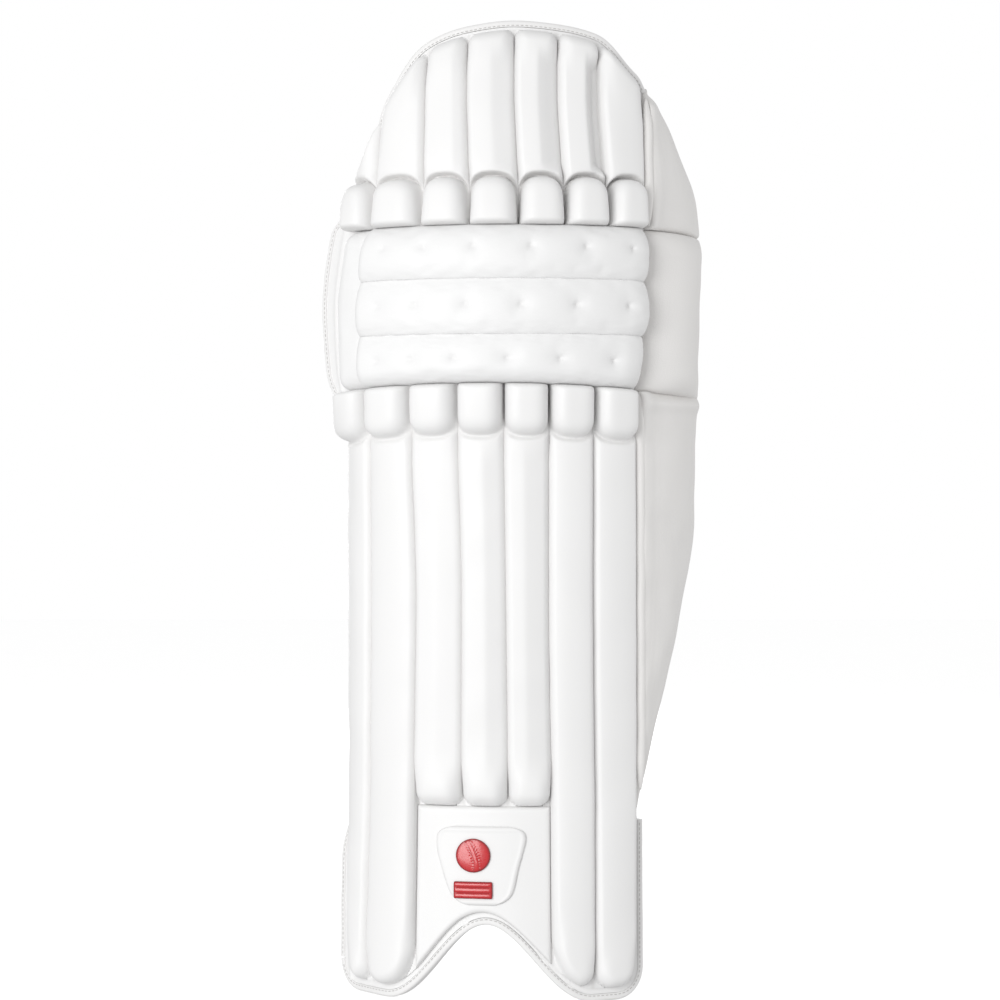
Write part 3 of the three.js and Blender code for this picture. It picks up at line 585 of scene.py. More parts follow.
def settled(across, level, out, pinned, count):     # count is how many columns and rows are simulated
    look = clothLook
    wide, high = across.shape
    cols = np.unique(np.linspace(0, wide - 1, count[0]).round().astype(int))
    lines = np.unique(np.linspace(0, high - 1, count[1]).round().astype(int))
    pick = np.ix_(cols, lines)
    start = bend(across, level, out)[pick]
    held = np.clip(pinned[pick].reshape(-1), 0, 1)
    mesh = bpy.data.meshes.new("settling")
    faces = gridFaces(len(cols), len(lines), closed=False)
    mesh.from_pydata([tuple(point) for point in start.reshape(-1, 3)], [], [tuple(f) for f in faces])
    piece = bpy.data.objects.new("settling", mesh)
    scene = bpy.context.scene
    scene.collection.objects.link(piece)
    group = piece.vertex_groups.new(name="sewn")
    for n in np.nonzero(held > 0.01)[0]:
        group.add([int(n)], float(held[n]), "REPLACE")
    cloth = piece.modifiers.new("cloth", "CLOTH").settings
    cloth.quality = look["quality"]
    cloth.mass = look["mass"]
    cloth.vertex_group_mass = "sewn"
    cloth.tension_stiffness = cloth.compression_stiffness = look["stretch"]
    cloth.shear_stiffness = look["stretch"] * 0.5
    cloth.bending_stiffness = look["stiffness"]
    cloth.shrink_min = -look["slack"]
    cloth.use_pressure = True
    cloth.uniform_pressure_force = look["pressure"]
    cloth.effector_weights.gravity = 0
    for frameNumber in range(1, look["frames"] + 1):
        scene.frame_set(frameNumber)
    result = piece.evaluated_get(bpy.context.evaluated_depsgraph_get()).to_mesh()
    end = np.empty(len(result.vertices) * 3)
    result.vertices.foreach_get("co", end)
    shift = end.reshape(start.shape) - start
    bpy.data.objects.remove(piece)
    bpy.data.meshes.remove(mesh)
    scene.frame_set(1)
    length = np.linalg.norm(shift, axis=-1, keepdims=True)
    shift = shift * np.minimum(1, look["most"] / 1000 / np.maximum(length, 1e-9))
    shift = smoothedBothWays(shift, look["smoothing"])
    print("settled: largest move %.1f mm, mean %.2f mm" % (1000 * length.max(), 1000 * length.mean()))
    shift = filledIn(shift, cols, wide)
    return filledIn(shift.swapaxes(0, 1), lines, high).swapaxes(0, 1)


def smoothedBothWays(grid, rounds):
    for _ in range(rounds):
        grid = smoothed(grid, 1)
        grid = smoothed(grid.swapaxes(0, 1), 1).swapaxes(0, 1)
    return grid


def filledIn(values, marks, count):                 # rows at the marks, spread over every row between
    columns = values.reshape(len(marks), -1).T
    filled = np.stack([np.interp(np.arange(count), marks, column) for column in columns], -1)
    return filled.reshape(count, *values.shape[1:])


def dress(piece, slot, *nodes, fill=None):
    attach(piece, "root")
    if nodes:
        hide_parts(*nodes)


# Board: leather on the front, quilted lining behind
boardLook = {
    "columns": 120, "rows": 300, "skin": 3.0, "quiltDepth": 2.2, "flangePiping": 1.6,
    "edgeDrop": 1.5, "edgeRadius": 5.0,
}


def boardGrid(look):
    k = np.linspace(-1, 8, look["columns"])
    t = closerAtEnds(look["rows"], 0.3)
    sole = soleLevel(boardAcross(k, 0))
    crown = crownLevel(k)
    level = sole[:, None] + (crown - sole)[:, None] * t[None, :]
    return boardAcross(k[:, None], level), level


def board(look):
    across, level = boardGrid(look)
    toLine = np.abs(across[..., None] - np.stack([lineAt(n, level) for n in range(8)], -1)).min(-1)
    left, right = leftEdge(level), rightEdge(level)
    wide = lineAt(0, level) - left
    flange = easeBetween(wide, 8, 14) * look["flangePiping"] * hump(across - (left + 0.5 * wide), 2.2)
    cover = padMesh("board_cover", across, level, flange, -look["skin"], rollLeather)
    dress(cover, "white_leather", "backing_board", fill=0.9)

    cross = np.abs(level[..., None] - np.array([kneeBottom, kneeTop])).min(-1)
    quilt = most(hump(toLine, 3.0), hump(cross, 3.0))
    rounded = look["edgeDrop"] * (1 - roundOff(least(across - left, right - across), look["edgeRadius"]))
    front = -look["skin"] - gap
    back = -pattern["boardThickness"] + look["quiltDepth"] * quilt + rounded
    lining = padMesh("inner_lining", across, level, front, back, liningCloth, quilt)
    dress(lining, "lining_fabric", fill=0.7)


# Upright rolls, each with a thumb-shaped cap next to the knee
rollLook = {
    "height": 13.0,
    "capHeight": 22.5,
    "columns": 37,
    "crownRim": 2.2,
    "footRim": 4.0,
    "fall": 0.20,                         # how far a roll's face falls to its sides, as a share
    "pressedWidth": 4.5,
    "endRadius": 10.0,
    "endFade": (5, 34),
    "grooveWidth": 0.11,                  # of the groove round a cap's tip, in cap widths
    "creaseShadeWidth": 0.15,                  # of the painted shade in it
    "seamWidth": 1.6,
    "wave": 46.0,
    "waveHeight": 0.3,
    "lowerCap": {"length": 37.5, "straight": 0.58, "wide": 0.97, "narrow": 0.0, "power": 2.8},
    "upperCap": {"length": 35.5, "straight": 0.58, "wide": 0.97, "narrow": 0.13, "power": 2.6},
    "tilts": (0.0, 0.0, 0.0, 0.0, 0.03, 0.10, 0.09),     # of a roll's top across it, up to the right
    # in each row, crease sets the strength of the painted shade in the crease round a cap's tip
    "shin": {
        "plainEnd": 40.0, "fade": 22.0, "groove": 0.15, "lift": 0.8, "crease": 0.8,
        # how much of a roll's height stays between the caps: shallow on the left, slits on the right
        "valleys": (0.95, 0.95, 0.85, 0.5, 0.25, 0.2, 0.3),
        # how much of its height each roll keeps where it leans on the next
        "pressed": (0.6, 0.66, 0.7, 0.7, 0.68, 0.62, 0.72),
        # for each roll: crest across it from -1 to 1, then how fast the left and right facets fall
        "ridges": {2: (-0.08, 0.06, 0.26), 3: (0.10, 0.05, 0.38), 4: (-0.12, 0.14, 0.28)},
    },
    "thigh": {
        "plainEnd": 26.0, "fade": 12.0, "groove": 0.5, "lift": 0.3, "crease": 1.6,
        "valleys": (0.95, 0.9, 0.8, 0.4, 0.18, 0.12, 0.2),
        "pressed": (0.6, 0.6, 0.6, 0.5, 0.4, 0.34, 0.70),
        "ridges": {2: (0.42, 0.05, 0.5), 3: (0.06, 0.04, 0.48), 4: (0.0, 0.10, 0.75),
                   5: (0.14, 0.16, 1.8)},
    },
}


def insideRounded(fromSide, fromEnd, radius):       # distance inside an outline with round corners
    a, b = np.clip(radius - fromSide, 0, None), np.clip(radius - fromEnd, 0, None)
    return np.where(np.maximum(a, b) > 0, radius - np.hypot(a, b), np.minimum(fromSide, fromEnd))


def swelling(distance, radius):                     # 0 at an edge, 1 from radius inwards
    return np.sqrt(1 - (1 - np.clip(distance / radius, 0, 1)) ** 2.2)


def facets(x, ridge):                               # flat towards the left, then a crease and a slope
    at, leftFall, rightFall = ridge
    return softMin(1 - leftFall * (at - x), 1 - rightFall * (x - at), 0.03) + 0.015


def capShape(x, distance, cap):                     # dome beside the knee seam, 0 outside its outline
    s = np.clip(distance / cap["length"], 0, 1.2)
    wide = cap["wide"] - cap["narrow"] * np.clip(s, 0, 1) ** 1.4
    tip = np.clip((s - cap["straight"]) / (1 - cap["straight"]), 0, None)
    n = cap["power"]
    reach = (np.abs(x / wide) ** n + tip ** n) ** (1 / n)
    dome = np.clip(1 - reach ** 3.9, 0, None) ** 0.40
    return dome * risingFrom(0.62, distance, 4), reach


# bottom and top give a roll's two ends; shape is what this roll has besides its row's values
def uprightRoll(name, k, bottom, top, row, shape, look, seed):
    u = closerAtEnds(look["columns"], 0.72)
    low = bottom(k + u)[:, None]
    high = top(k + u)[:, None]
    level = low + (high - low) * shape["steps"][None, :]
    left, right = lineAt(k, level), lineAt(k + 1, level)
    across = left + u[:, None] * (right - left)
    x = np.broadcast_to(2 * u[:, None] - 1, level.shape)
    lowEnd = (level - low) / np.hypot(1, np.gradient(low[:, 0], across[:, 0])[:, None])
    highEnd = (high - level) / np.hypot(1, np.gradient(high[:, 0], across[:, -1])[:, None])
    capEnd, otherEnd = (highEnd, lowEnd) if shape["capOnTop"] else (lowEnd, highEnd)
    cap = look["lowerCap"] if shape["capOnTop"] else look["upperCap"]
    fromSide = least(across - left, right - across)

    length = cap["length"]
    body = 1 - look["fall"] * np.abs(x) ** 2.4 + shape["tilt"] * x * easeBetween(level, 50, 150)
    if k in row["ridges"]:
        on = (easeBetween(capEnd, length, length + row["fade"])
              * easeBetween(otherEnd, 0.35 * row["plainEnd"], row["plainEnd"]))
        body = body * (1 - on) + facets(x, row["ridges"][k]) * on
    pressed = row["pressed"][k]
    inwards = np.clip(fromSide / look["pressedWidth"], 0, 1)
    pressed = pressed + (1 - pressed) * (1 - (1 - inwards) ** 2)
    rounded = swelling(insideRounded(fromSide, otherEnd, shape["corner"]), look["endRadius"])
    along = easeBetween(otherEnd, *look["endFade"])
    body = body * (rounded * (1 - along) + pressed * along)
    body = body * (1 + shape["swell"] * hump(otherEnd - 15, 13))
    dome, reach = capShape(x, capEnd, cap)
    nearTip = easeBetween(capEnd, 0.45 * length, 0.85 * length)
    valley = row["valleys"][k]
    valley = valley + (1 - valley) * row["lift"] * nearTip
    body = body * (valley + (1 - valley) * easeBetween(reach, 1.02, 1.24))
    body = body * (1 - row["groove"] * hump(reach - 1.05, look["grooveWidth"]) * nearTip)
    height = softMax(look["height"] * body, look["capHeight"] * dome, 0.8)
    wave = look["waveHeight"] * wobble(across, level, look["wave"], seed)
    height = height + wave * np.clip(height / 10, 0, 1)
    # painted shade: the seam mark is raised in the crease round each cap's tip, which darkens the colour
    # there as a painted shadow
    crease = row["crease"] * hump(reach - 1.09, look["creaseShadeWidth"])
    seam = most(hump(fromSide, look["seamWidth"]), hump(capEnd, 2.0), crease)
    out = gap + 0.5 + np.clip(height, 0, None)
    piece = padMesh(name, across, level, out, gap, rollLeather, seam)
    dress(piece, "white_leather", name, fill=0.95)


def shinRolls(look):
    panelTop = zone("shin", 0.318)
    for k in range(7):
        middle = k in look["shin"]["ridges"]        # it ends above the instep
        length = kneeBottom - (panelTop if middle else 10)
        stretches = [(22, 1.1), (-60, 3.0), (-46, 1.3), (-30, 0.8), (-12, 1.4), (length, 0.9)]
        shape = {
            "capOnTop": True,
            "steps": stepsOf(length, *stretches),
            "corner": 10.0 if middle else 14.0,
            "swell": 0.2 if middle else 0.0,
            "tilt": look["tilts"][k],
        }

        def bottom(place):
            return panelTop + 0 * place if middle else soleLevel(lineAt(place, 0)) + look["footRim"]

        def top(place):
            return sagged(kneeBottom, lineAt(place, kneeBottom))

        uprightRoll(f"shin_roll_{k + 1}", k, bottom, top, look["shin"], shape, look, 20 + k)


def thighRolls(look):
    def bottom(place):
        return kneeTop + 0 * place

    def top(place):
        return crownLevel(place) - look["crownRim"]

    for k in range(7):
        length = float(crownLevel(k + 0.5)) - kneeTop
        stretches = [(8, 0.8), (28, 1.3), (min(46, 0.5 * length), 0.8), (-14, 1.9), (length, 0.9)]
        shape = {
            "capOnTop": False,
            "steps": stepsOf(length, *stretches),
            "corner": 8.0,
            "swell": 0.08,
            "tilt": 0.5 * look["tilts"][k],
        }
        uprightRoll(f"thigh_roll_{k + 1}", k, bottom, top, look["thigh"], shape, look, 40 + k)


# Knee section: three dimpled rolls and the panel beside them
kneeLook = {
    "height": 26.0,
    "seamHeight": 0.80,
    "edgeHeight": 0.34,
    "dimpleDepth": 4.2,
    "columns": 230,
    "rows": 42,
    "dimples": [
        (1.48, 2.17, 3.01, 4.06, 5.12, 6.23),
        (1.48, 2.17, 3.13, 4.20, 5.32, 6.40),
        (1.48, 2.23, 3.18, 4.27, 5.39, 6.42),
    ],
    "dimpleUp": (0.50, 0.53, 0.58),
    # a dimple's pit, its puckered slope and the wide hollow round it: share of the depth, width
    "pit": (0.42, 2.1),
    "slope": (0.34, 5.5),
    "hollow": (0.24, 12.0),
    "bulge": 3.6,                         # of a roll's right end between its seams
    "drawnIn": 1.6,                       # of the same end at its seams
    "clothGrid": (125, 24),
    "sideHeight": 16.0,
    "sideClothGrid": (18, 50),
}


def kneeRoll(n, name, look):
    u = stepsOf(250, (10, 1.0), (-16, 1.3), (250, 0.8))
    v = closerAtEnds(look["rows"], 0.6)
    k, share = np.meshgrid(1 + 6 * u, v, indexing="ij")
    pitch = pattern["kneeLength"] / 3
    flat = kneeBottom + pattern["kneeLength"] * (n + share) / 3
    across = lineAt(k, flat)
    level = sagged(flat, across)
    swell = np.sqrt(np.clip(1 - (2 * share - 1) ** 2, 0, 1))
    fromRight = lineAt(7, level) - lineAt(k, level)
    fromLeft = lineAt(k, level) - lineAt(1, level)
    toSeam = least(share, 1 - share) * pitch
    across = across + (look["bulge"] * swell - look["drawnIn"]) * easeBetween(-fromRight, -16, 0)

    x = 2 * share ** 0.78 - 1                       # fullest below the middle, as if it sags
    lowEdge = look["edgeHeight"] if n == 0 else look["seamHeight"]
    highEdge = look["edgeHeight"] if n == 2 else look["seamHeight"]
    edge = np.where(x < 0, lowEdge, highEdge)
    steep = np.where(edge > 0.5, 0.9, 0.55)
    arch = edge + (1 - edge) * (1 - np.abs(x) ** 2.3) ** steep
    height = look["height"] * arch * risingFrom(0.70, fromLeft, 7) * risingFrom(0.16, fromRight, 20)
    pits = dustAndShade = 0 * height
    for place in look["dimples"][n]:
        dx = across - lineAt(place, level)
        dy = (share - look["dimpleUp"][n]) * pitch
        distance = np.hypot(dx, dy)
        turn = np.arctan2(dy, dx)
        pucker = 1 + 0.12 * np.sin(3 * turn + 5 * place) + 0.06 * np.sin(7 * turn + 11 * place)
        deep = look["dimpleDepth"] * (0.5 + 0.09 * place)
        pit, slope, hollow = (part * hump(distance, width) for part, width in
                              (look["pit"], look["slope"], look["hollow"]))
        height = height - deep * (pit + pucker * slope + hollow)
        pits = most(pits, hump(distance, 2.2))
        # painted shade: the dimple pits are darkened through the seam mark, more strongly towards the
        # right
        dustAndShade = most(dustAndShade, (0.3 + 0.1 * place) * hump(distance, 2.2))
    height = height + 0.5 * wobble(across, level, 52, 60 + n)
    height = height + 0.3 * wobble(across, 3 * level, 13, 70 + n) * np.exp(-toSeam / 6)
    crumple = wobble(across, 1.6 * level, 15, 75 + n) * easeBetween(-fromRight, -34, -6)
    height = height + 0.3 * crumple * swell
    seam = most(0.6 * hump(toSeam, 1.3), hump(fromRight, 2), 1.6 * dustAndShade)
    out = gap + np.clip(height, 1, None)
    pinned = most(hump(toSeam, 1.5), hump(least(fromLeft, fromRight), 2.5), pits)
    shift = settled(across, level, out, pinned, look["clothGrid"])
    piece = padMesh(name, across, level, out, gap, kneeLeather, seam, shift)
    dress(piece, "knee_leather", name, fill=0.85)


def sidePanel(look):
    u, v = closerAtEnds(40, 0.7), closerAtEnds(90, 0.5)
    k, share = np.meshgrid(u, v, indexing="ij")
    level = sagged(kneeBottom + pattern["kneeLength"] * share, lineAt(k, kneeBottom))
    left, right = lineAt(0, level) + halfGap, lineAt(1, level)
    across = left + k * (right - left)
    toSeam = pattern["kneeLength"] * least(share, 1 - share)
    fromLeft, fromRight = across - left, right - across
    inside = insideRounded(fromLeft, toSeam, 12)
    height = look["sideHeight"] * (0.1 + 0.9 * swelling(inside, 15))
    height = height * risingFrom(0.9, fromRight, 6)
    height = height + 0.3 * wobble(across, level, 40, 81)
    seam = most(hump(least(toSeam, fromLeft), 1.6), 0.5 * hump(fromRight, 1.4))
    out = gap + np.clip(height, 0.8, None)
    pinned = hump(least(toSeam, fromLeft, fromRight), 1.5)
    shift = settled(across, level, out, pinned, look["sideClothGrid"])
    piece = padMesh("knee_side_panel", across, level, out, gap, kneeLeather, seam, shift)
    dress(piece, "knee_leather", "knee_side_panel", fill=0.8)


def kneeSection(look):
    for n, name in enumerate(("knee_roll_bottom", "knee_roll_middle", "knee_roll_top")):
        kneeRoll(n, name, look)
    sidePanel(look)


# Instep panel, and the badge on it
instepLook = {"height": 5.0, "edge": 4.2, "sole": 3.6}


def instepPanel(look):
    u, v = closerAtEnds(90, 0.5), closerAtEnds(70, 0.5)
    k = 2 + 3 * u
    low = (soleLevel(lineAt(k, 0)) + look["sole"])[:, None]
    high = zone("shin", 0.318)
    level = low + (high - low) * v
    left, right = lineAt(2, level) + halfGap, lineAt(5, level) - halfGap
    across = left + u[:, None] * (right - left)
    edge = least(across - left, right - across, level - low, high - level)
    height = look["height"] * risingFrom(0.35, edge, look["edge"])
    height = height + 0.12 * wobble(across, level, 50, 90)
    piece = padMesh("instep_panel", across, level, height, gap, rollLeather, hump(edge, 1.4))
    dress(piece, "white_leather", "instep_panel", fill=0.9)


badgeLook = {
    "width": 64.0, "length": 56.0, "across": -3.0, "level": 69.5, "height": 2.2, "relief": 1.7,
    "ballRadius": 12.0, "ballAcross": -8.0, "ballLevel": 105.0,
    "barWidth": 27.0, "barLength": 12.0, "barLevel": 74.5,
    # from the lower end up: share of the length, then the two sides as shares of the width
    "outline": [
        (0, -0.13, 0.14), (0.02, -0.20, 0.21), (0.06, -0.27, 0.28), (0.15, -0.34, 0.35),
        (0.46, -0.436, 0.414), (0.77, -0.497, 0.486), (0.87, -0.495, 0.50), (0.94, -0.46, 0.47),
        (0.985, -0.38, 0.39), (1, -0.28, 0.30),
    ],
}


def badgePatch(look, base):
    stops, lefts, rights = np.array(look["outline"]).T
    share, v = closerAtEnds(60, 0.5)[:, None], closerAtEnds(56, 0.5)
    left, right = (smoothed(look["across"] + look["width"] * curveThrough(stops, sides, v), 8)
                   for sides in (lefts, rights))
    across = left + share * (right - left)
    level = look["level"] + look["length"] * v + 0 * across
    edge = least(least(share, 1 - share) * (right - left), least(v, 1 - v) * look["length"])
    height = look["height"] * (0.12 + 0.78 * roundOff(edge, 2.8)) + 0.3 * hump(edge - 2.4, 1.2)
    patch = padMesh("badge_patch", across, level, base + height, base, rollLeather, hump(edge, 1.0))
    dress(patch, "white_leather", "badge_patch", fill=0.9)


def badgeBall(look, seat):                          # a raised disc with a curved seam across it
    around = 96
    turns = np.linspace(0, 2 * np.pi, around + 1)[:-1]
    rings = np.concatenate([[0.0], closerAtEnds(22, 0.3)[1:]])
    ring, turn = np.meshgrid(rings, turns, indexing="ij")
    dx = look["ballRadius"] * ring * np.cos(turn)
    dy = look["ballRadius"] * ring * np.sin(turn)
    toSeam = np.abs(dx + 0.32 * dy + 0.018 * dy ** 2 - 1.2)
    seamBand = np.exp(-(toSeam / 1.5) ** 4) * (ring < 0.93)
    threads = hump(toSeam - 2.6, 0.5) * (np.sin(dy * 3.4) > 0.1) * (ring < 0.9)
    dome = look["relief"] * (0.35 + 0.65 * np.sqrt(np.clip(1 - ring ** 2, 0, 1)))
    dome = dome + 0.25 * seamBand + 0.3 * threads
    rim = hump((1 - ring) * look["ballRadius"], 1.1)
    groove = 0.5 * hump(toSeam - 1.9, 0.35) * (ring < 0.95)
    points = [bend(look["ballAcross"] + dx, look["ballLevel"] + dy, seat + out).reshape(-1, 3)
              for out in (dome, 0 * dome)]
    below, last = len(rings) * around, (len(rings) - 1) * around
    faces = []
    for r in range(0, last, around):
        for a in range(around):
            b = (a + 1) % around
            quad = (r + a, r + around + a, r + around + b, r + b)
            faces.append(quad)
            faces.append([below + n for n in quad[::-1]])
    for a in range(around):
        b = (a + 1) % around
        faces.append([last + a, below + last + a, below + last + b, last + b])
    seam = np.tile((rim + groove).ravel(), 2)
    ball = meshFrom("badge_ball", np.concatenate(points), faces, redVinyl, seam=seam)
    tidyMesh(ball)
    dress(ball, "red_badge", "badge_ball")


def badgeBar(look, seat):                           # three ribs under the ball
    wide, long = look["barWidth"], look["barLength"]
    dy = (closerAtEnds(34, 0.4) - 0.5) * long
    squeeze = np.sqrt(np.clip(1 - (np.abs(dy) / (0.5 * long)) ** 6, 0, 1))
    dx = (closerAtEnds(70, 0.4) - 0.5)[:, None] * wide * (0.93 + 0.07 * squeeze)
    edge = least(0.5 * wide - np.abs(dx), 0.5 * long - np.abs(dy))
    ribs = np.abs(np.sin(np.pi * (dy / long + 0.5) * 3)) ** 0.6
    height = look["relief"] * (0.4 + 0.25 * roundOff(edge, 1.6) + 0.35 * ribs * roundOff(edge, 2.5))
    across, level = look["ballAcross"] + dx, look["barLevel"] + 0.5 * long + dy
    seam = most(hump(edge, 0.9), 0.6 * (1 - ribs))
    bar = padMesh("badge_bar", across, level, seat + height, seat, redVinyl, seam)
    dress(bar, "red_badge", "badge_bar")


def badge(look):
    base = instepLook["height"] + gap
    seat = base + look["height"] + gap
    badgePatch(look, base)
    badgeBall(look, seat)
    badgeBar(look, seat)


# Wing: three padded flaps on the outer side
wingLook = {
    "padding": 3.5,
    "lowerEdge": [
        ("shin", 0.308, 0.02), ("shin", 0.335, 0.05), ("shin", 0.365, 0.095), ("shin", 0.405, 0.15),
        ("shin", 0.485, 0.293), ("shin", 0.568, 0.457), ("shin", 0.65, 0.61), ("shin", 0.75, 0.82),
        ("shin", 0.82, 0.87), ("shin", 0.91, 0.895), ("shin", 0.985, 0.885),
    ],
    "upperEdge": [
        ("knee", 0, 0.855), ("knee", 0.25, 0.80), ("knee", 0.75, 0.80), ("thigh", 0, 0.87),
        ("thigh", 0.15, 0.82), ("thigh", 0.24, 0.73), ("thigh", 0.31, 0.63), ("thigh", 0.425, 0.465),
        ("thigh", 0.56, 0.28), ("thigh", 0.64, 0.15), ("thigh", 0.69, 0.05),
    ],
    "columns": 60,
    # fold: how far a flap stands up beside its rolled seam; rise and drop: how its ends slant
    "flaps": {
        "wing_lower": {
            "from": zone("shin", 0.308), "to": kneeBottom, "edge": "lowerEdge", "belly": 5.0,
            "crest": 0.9, "puff": 3.2, "rise": 0.0, "drop": 0.0, "raised": 0.0, "fold": 9.0,
        },
        "wing_knee": {
            "from": kneeBottom, "to": kneeTop, "edge": "upperEdge", "belly": 14.5,
            "crest": 0.84, "puff": 0.0, "rise": 0.0, "drop": 4.5, "raised": 2.2, "fold": 0.0,
        },
        "wing_upper": {
            "from": kneeTop, "to": zone("thigh", 0.69), "edge": "upperEdge", "belly": 4.5,
            "crest": 1.0, "puff": 0.0, "rise": 4.5, "drop": 0.0, "raised": 0.8, "fold": 9.0,
        },
    },
    # the rolled seams where the flaps are sewn to the board
    "welts": {
        "wing_welt_lower": (zone("shin", 0.34), kneeBottom - 2),
        "wing_welt_upper": (kneeTop + 2, zone("thigh", 0.67)),
    },
    "rootRadius": 10.0,
    "outerRadius": 4.5,
    "seamRadius": 3.0,
    "wave": 60.0,
    "weltRadius": 4.0,
    "weltHeight": 7.8,
    "weltStep": 2.5,
}


def wingFlap(name, flap, look, seed):
    share = closerAtEnds(look["columns"], 0.5)[:, None]
    length = flap["to"] - flap["from"]
    low, high = flap["from"] - flap["drop"] * share, flap["to"] + flap["rise"] * share
    level = low + (high - low) * closerAtEnds(max(60, round(length / 2.2)), 0.6)[None, :]
    board = rightEdge(level)
    root = board + 3 * halfGap
    outer = board + gap + pattern["wingWidth"] * fromTable(look[flap["edge"]], level)
    wide = outer - root
    across = root + share * wide
    fromRoot, fromOuter = across - root, outer - across
    fromLow, fromHigh = level - low, high - level
    fromSeam = least(fromLow, fromHigh)
    belly = np.sin(np.pi * share ** flap["crest"]) ** 0.85
    belly = belly * easeBetween(wide, 8, 50) * swelling(fromSeam, 20)
    puff = hump(fromHigh - 8, 5.5) * swelling(least(fromRoot, fromOuter), 16)
    face = look["padding"] * (0.2 + 0.4 * roundOff(fromRoot, look["rootRadius"])) + flap["belly"] * belly
    face = face + flap["fold"] * hump(fromRoot, look["rootRadius"]) * easeBetween(wide, 4, 20)
    face = face + flap["puff"] * puff
    face = face + flap["raised"] * easeBetween(share, 0, 0.3) * np.exp(-fromLow / 16)
    face = face + 0.4 * wobble(across, level, look["wave"], seed) * easeBetween(wide, 10, 40)
    folded = 1 - roundOff(fromOuter + 0.15, look["outerRadius"])        # round the outer edge
    tucked = 1 - roundOff(fromSeam + 0.1, look["seamRadius"])
    face = face - (1.2 + 2.6 * easeBetween(wide, 2, 14)) * folded - (1.4 + flap["raised"]) * tucked
    back = -pattern["boardThickness"] * (1 - 0.18 * easeBetween(share, 0.7, 1))
    back = back + 2.6 * folded + 0.8 * tucked
    seam = most(hump(fromSeam, 1.8), 0.7 * hump(fromOuter - 4.5, 1.0), hump(fromRoot, 1.8))
    edge = least(fromSeam, fromRoot, fromOuter - 1)
    pinned = hump(np.clip(edge, 0, None), 2.0)
    shift = settled(across, level, face, pinned, (26, max(20, round(length / 5))))
    piece = padMesh(name, across, level, face, back, wingLeather, seam, shift)
    dress(piece, "wing_leather", name, fill=0.5)


def tubeAlong(name, points, radius, material, sides=14, taper=8):
    along = unit(np.gradient(points, axis=0))
    sideways = unit(np.cross(along, (0.3, 1.0, 0.1)))
    up = np.cross(sideways, along)
    turns = np.linspace(0, 2 * np.pi, sides + 1)[:-1, None]
    around = np.cos(turns) * sideways[:, None] + np.sin(turns) * up[:, None]
    n = np.arange(len(points))
    thin = radius * np.sqrt(np.clip(np.minimum(n, n[::-1]) / taper, 0.03, 1))
    rings = points[:, None] + thin[:, None, None] * around
    made = meshFrom(name, rings.reshape(-1, 3), ringFaces(len(points), sides), material, sharp=0)
    tidyMesh(made)
    return made


def wing(look):
    for seed, (name, flap) in enumerate(look["flaps"].items(), 101):
        wingFlap(name, flap, look, seed)
    for name, (low, high) in look["welts"].items():
        level = np.arange(low, high, look["weltStep"])
        across = lineAt(7, level) + look["weltRadius"] - 0.2 + 0.25 * wobble(level, 0 * level, 40, 105)
        path = bend(across, level, look["weltHeight"] + 0 * level)
        dress(tubeAlong(name, path, look["weltRadius"] / 1000, wingLeather), "wing_leather")


# Stitches: short threads half sunk in the leather
stitchLook = {
    "pitch": 3.4, "length": 2.3, "radius": 0.34, "sides": 6, "raised": 0.12,
    # (place along it, thickness) as shares of its length and radius
    "profile": [(-0.5, 0.25), (-0.4, 0.8), (-0.15, 1.0), (0.15, 1.0), (0.4, 0.8), (0.5, 0.25)],
}


def onPattern(path, look):                          # path is a list of (across, level, out)
    across, level, out = evenly(np.asarray(path, float), look["pitch"]).T
    real = bend(across, level, out) * 1000
    return np.hstack([real, bend(across, level, out + 1) * 1000 - real])


def stitchRow(paths, name, look):                   # rows of a path: a place and the way up from it
    points, faces = [], []
    sides, profile = look["sides"], look["profile"]
    turns = np.linspace(0, 2 * np.pi, sides + 1)[:-1, None]
    for path in paths:
        real, above = path[:, :3], unit(path[:, 3:])
        for n in range(1, len(path) - 1):
            along = unit(real[n + 1] - real[n - 1])
            up = above[n]
            sideways = unit(np.cross(along, up))
            around = look["radius"] * (np.cos(turns) * sideways + np.sin(turns) * up)
            faces.extend(ringFaces(len(profile), sides, len(points)))
            for share, fat in profile:
                centre = real[n] + along * share * look["length"] + up * look["raised"] * fat
                points.extend(centre + fat * around)
    made = meshFrom(name, np.array(points) / 1000, faces, sewingThread, sharp=0)
    dress(made, "binding_tape")


# Binding round the board's edge
bindingLook = {"width": 5.0, "lip": 1.0, "round": 2.1, "step": 2.0, "seamInset": 1.0}


def edgePath():
    levels = np.linspace(float(soleLevel(leftEdge(0) + 0.01)), zone("thigh", 0.2), 260)
    left = np.stack([leftEdge(levels), levels], -1)
    k = np.linspace(-1, 8, 260)
    crown = np.stack([boardAcross(k, crownLevel(k)), crownLevel(k)], -1)
    levels = np.linspace(zone("shin", 0.289), float(soleLevel(rightEdge(0) - 0.01)), 60)
    right = np.stack([rightEdge(levels), levels], -1)
    t = closerAtEnds(420, 0.9)
    across = leftEdge(0) + 0.01 + (rightEdge(0) - leftEdge(0) - 0.02) * t[::-1]
    sole = np.stack([across, soleLevel(across)], -1)
    return left, crown, right, sole


def awayFrom(path):                                 # to the left, outwards where it runs clockwise
    along = unit(np.gradient(path, axis=-2))
    return np.stack([-along[..., 1], along[..., 0]], -1)


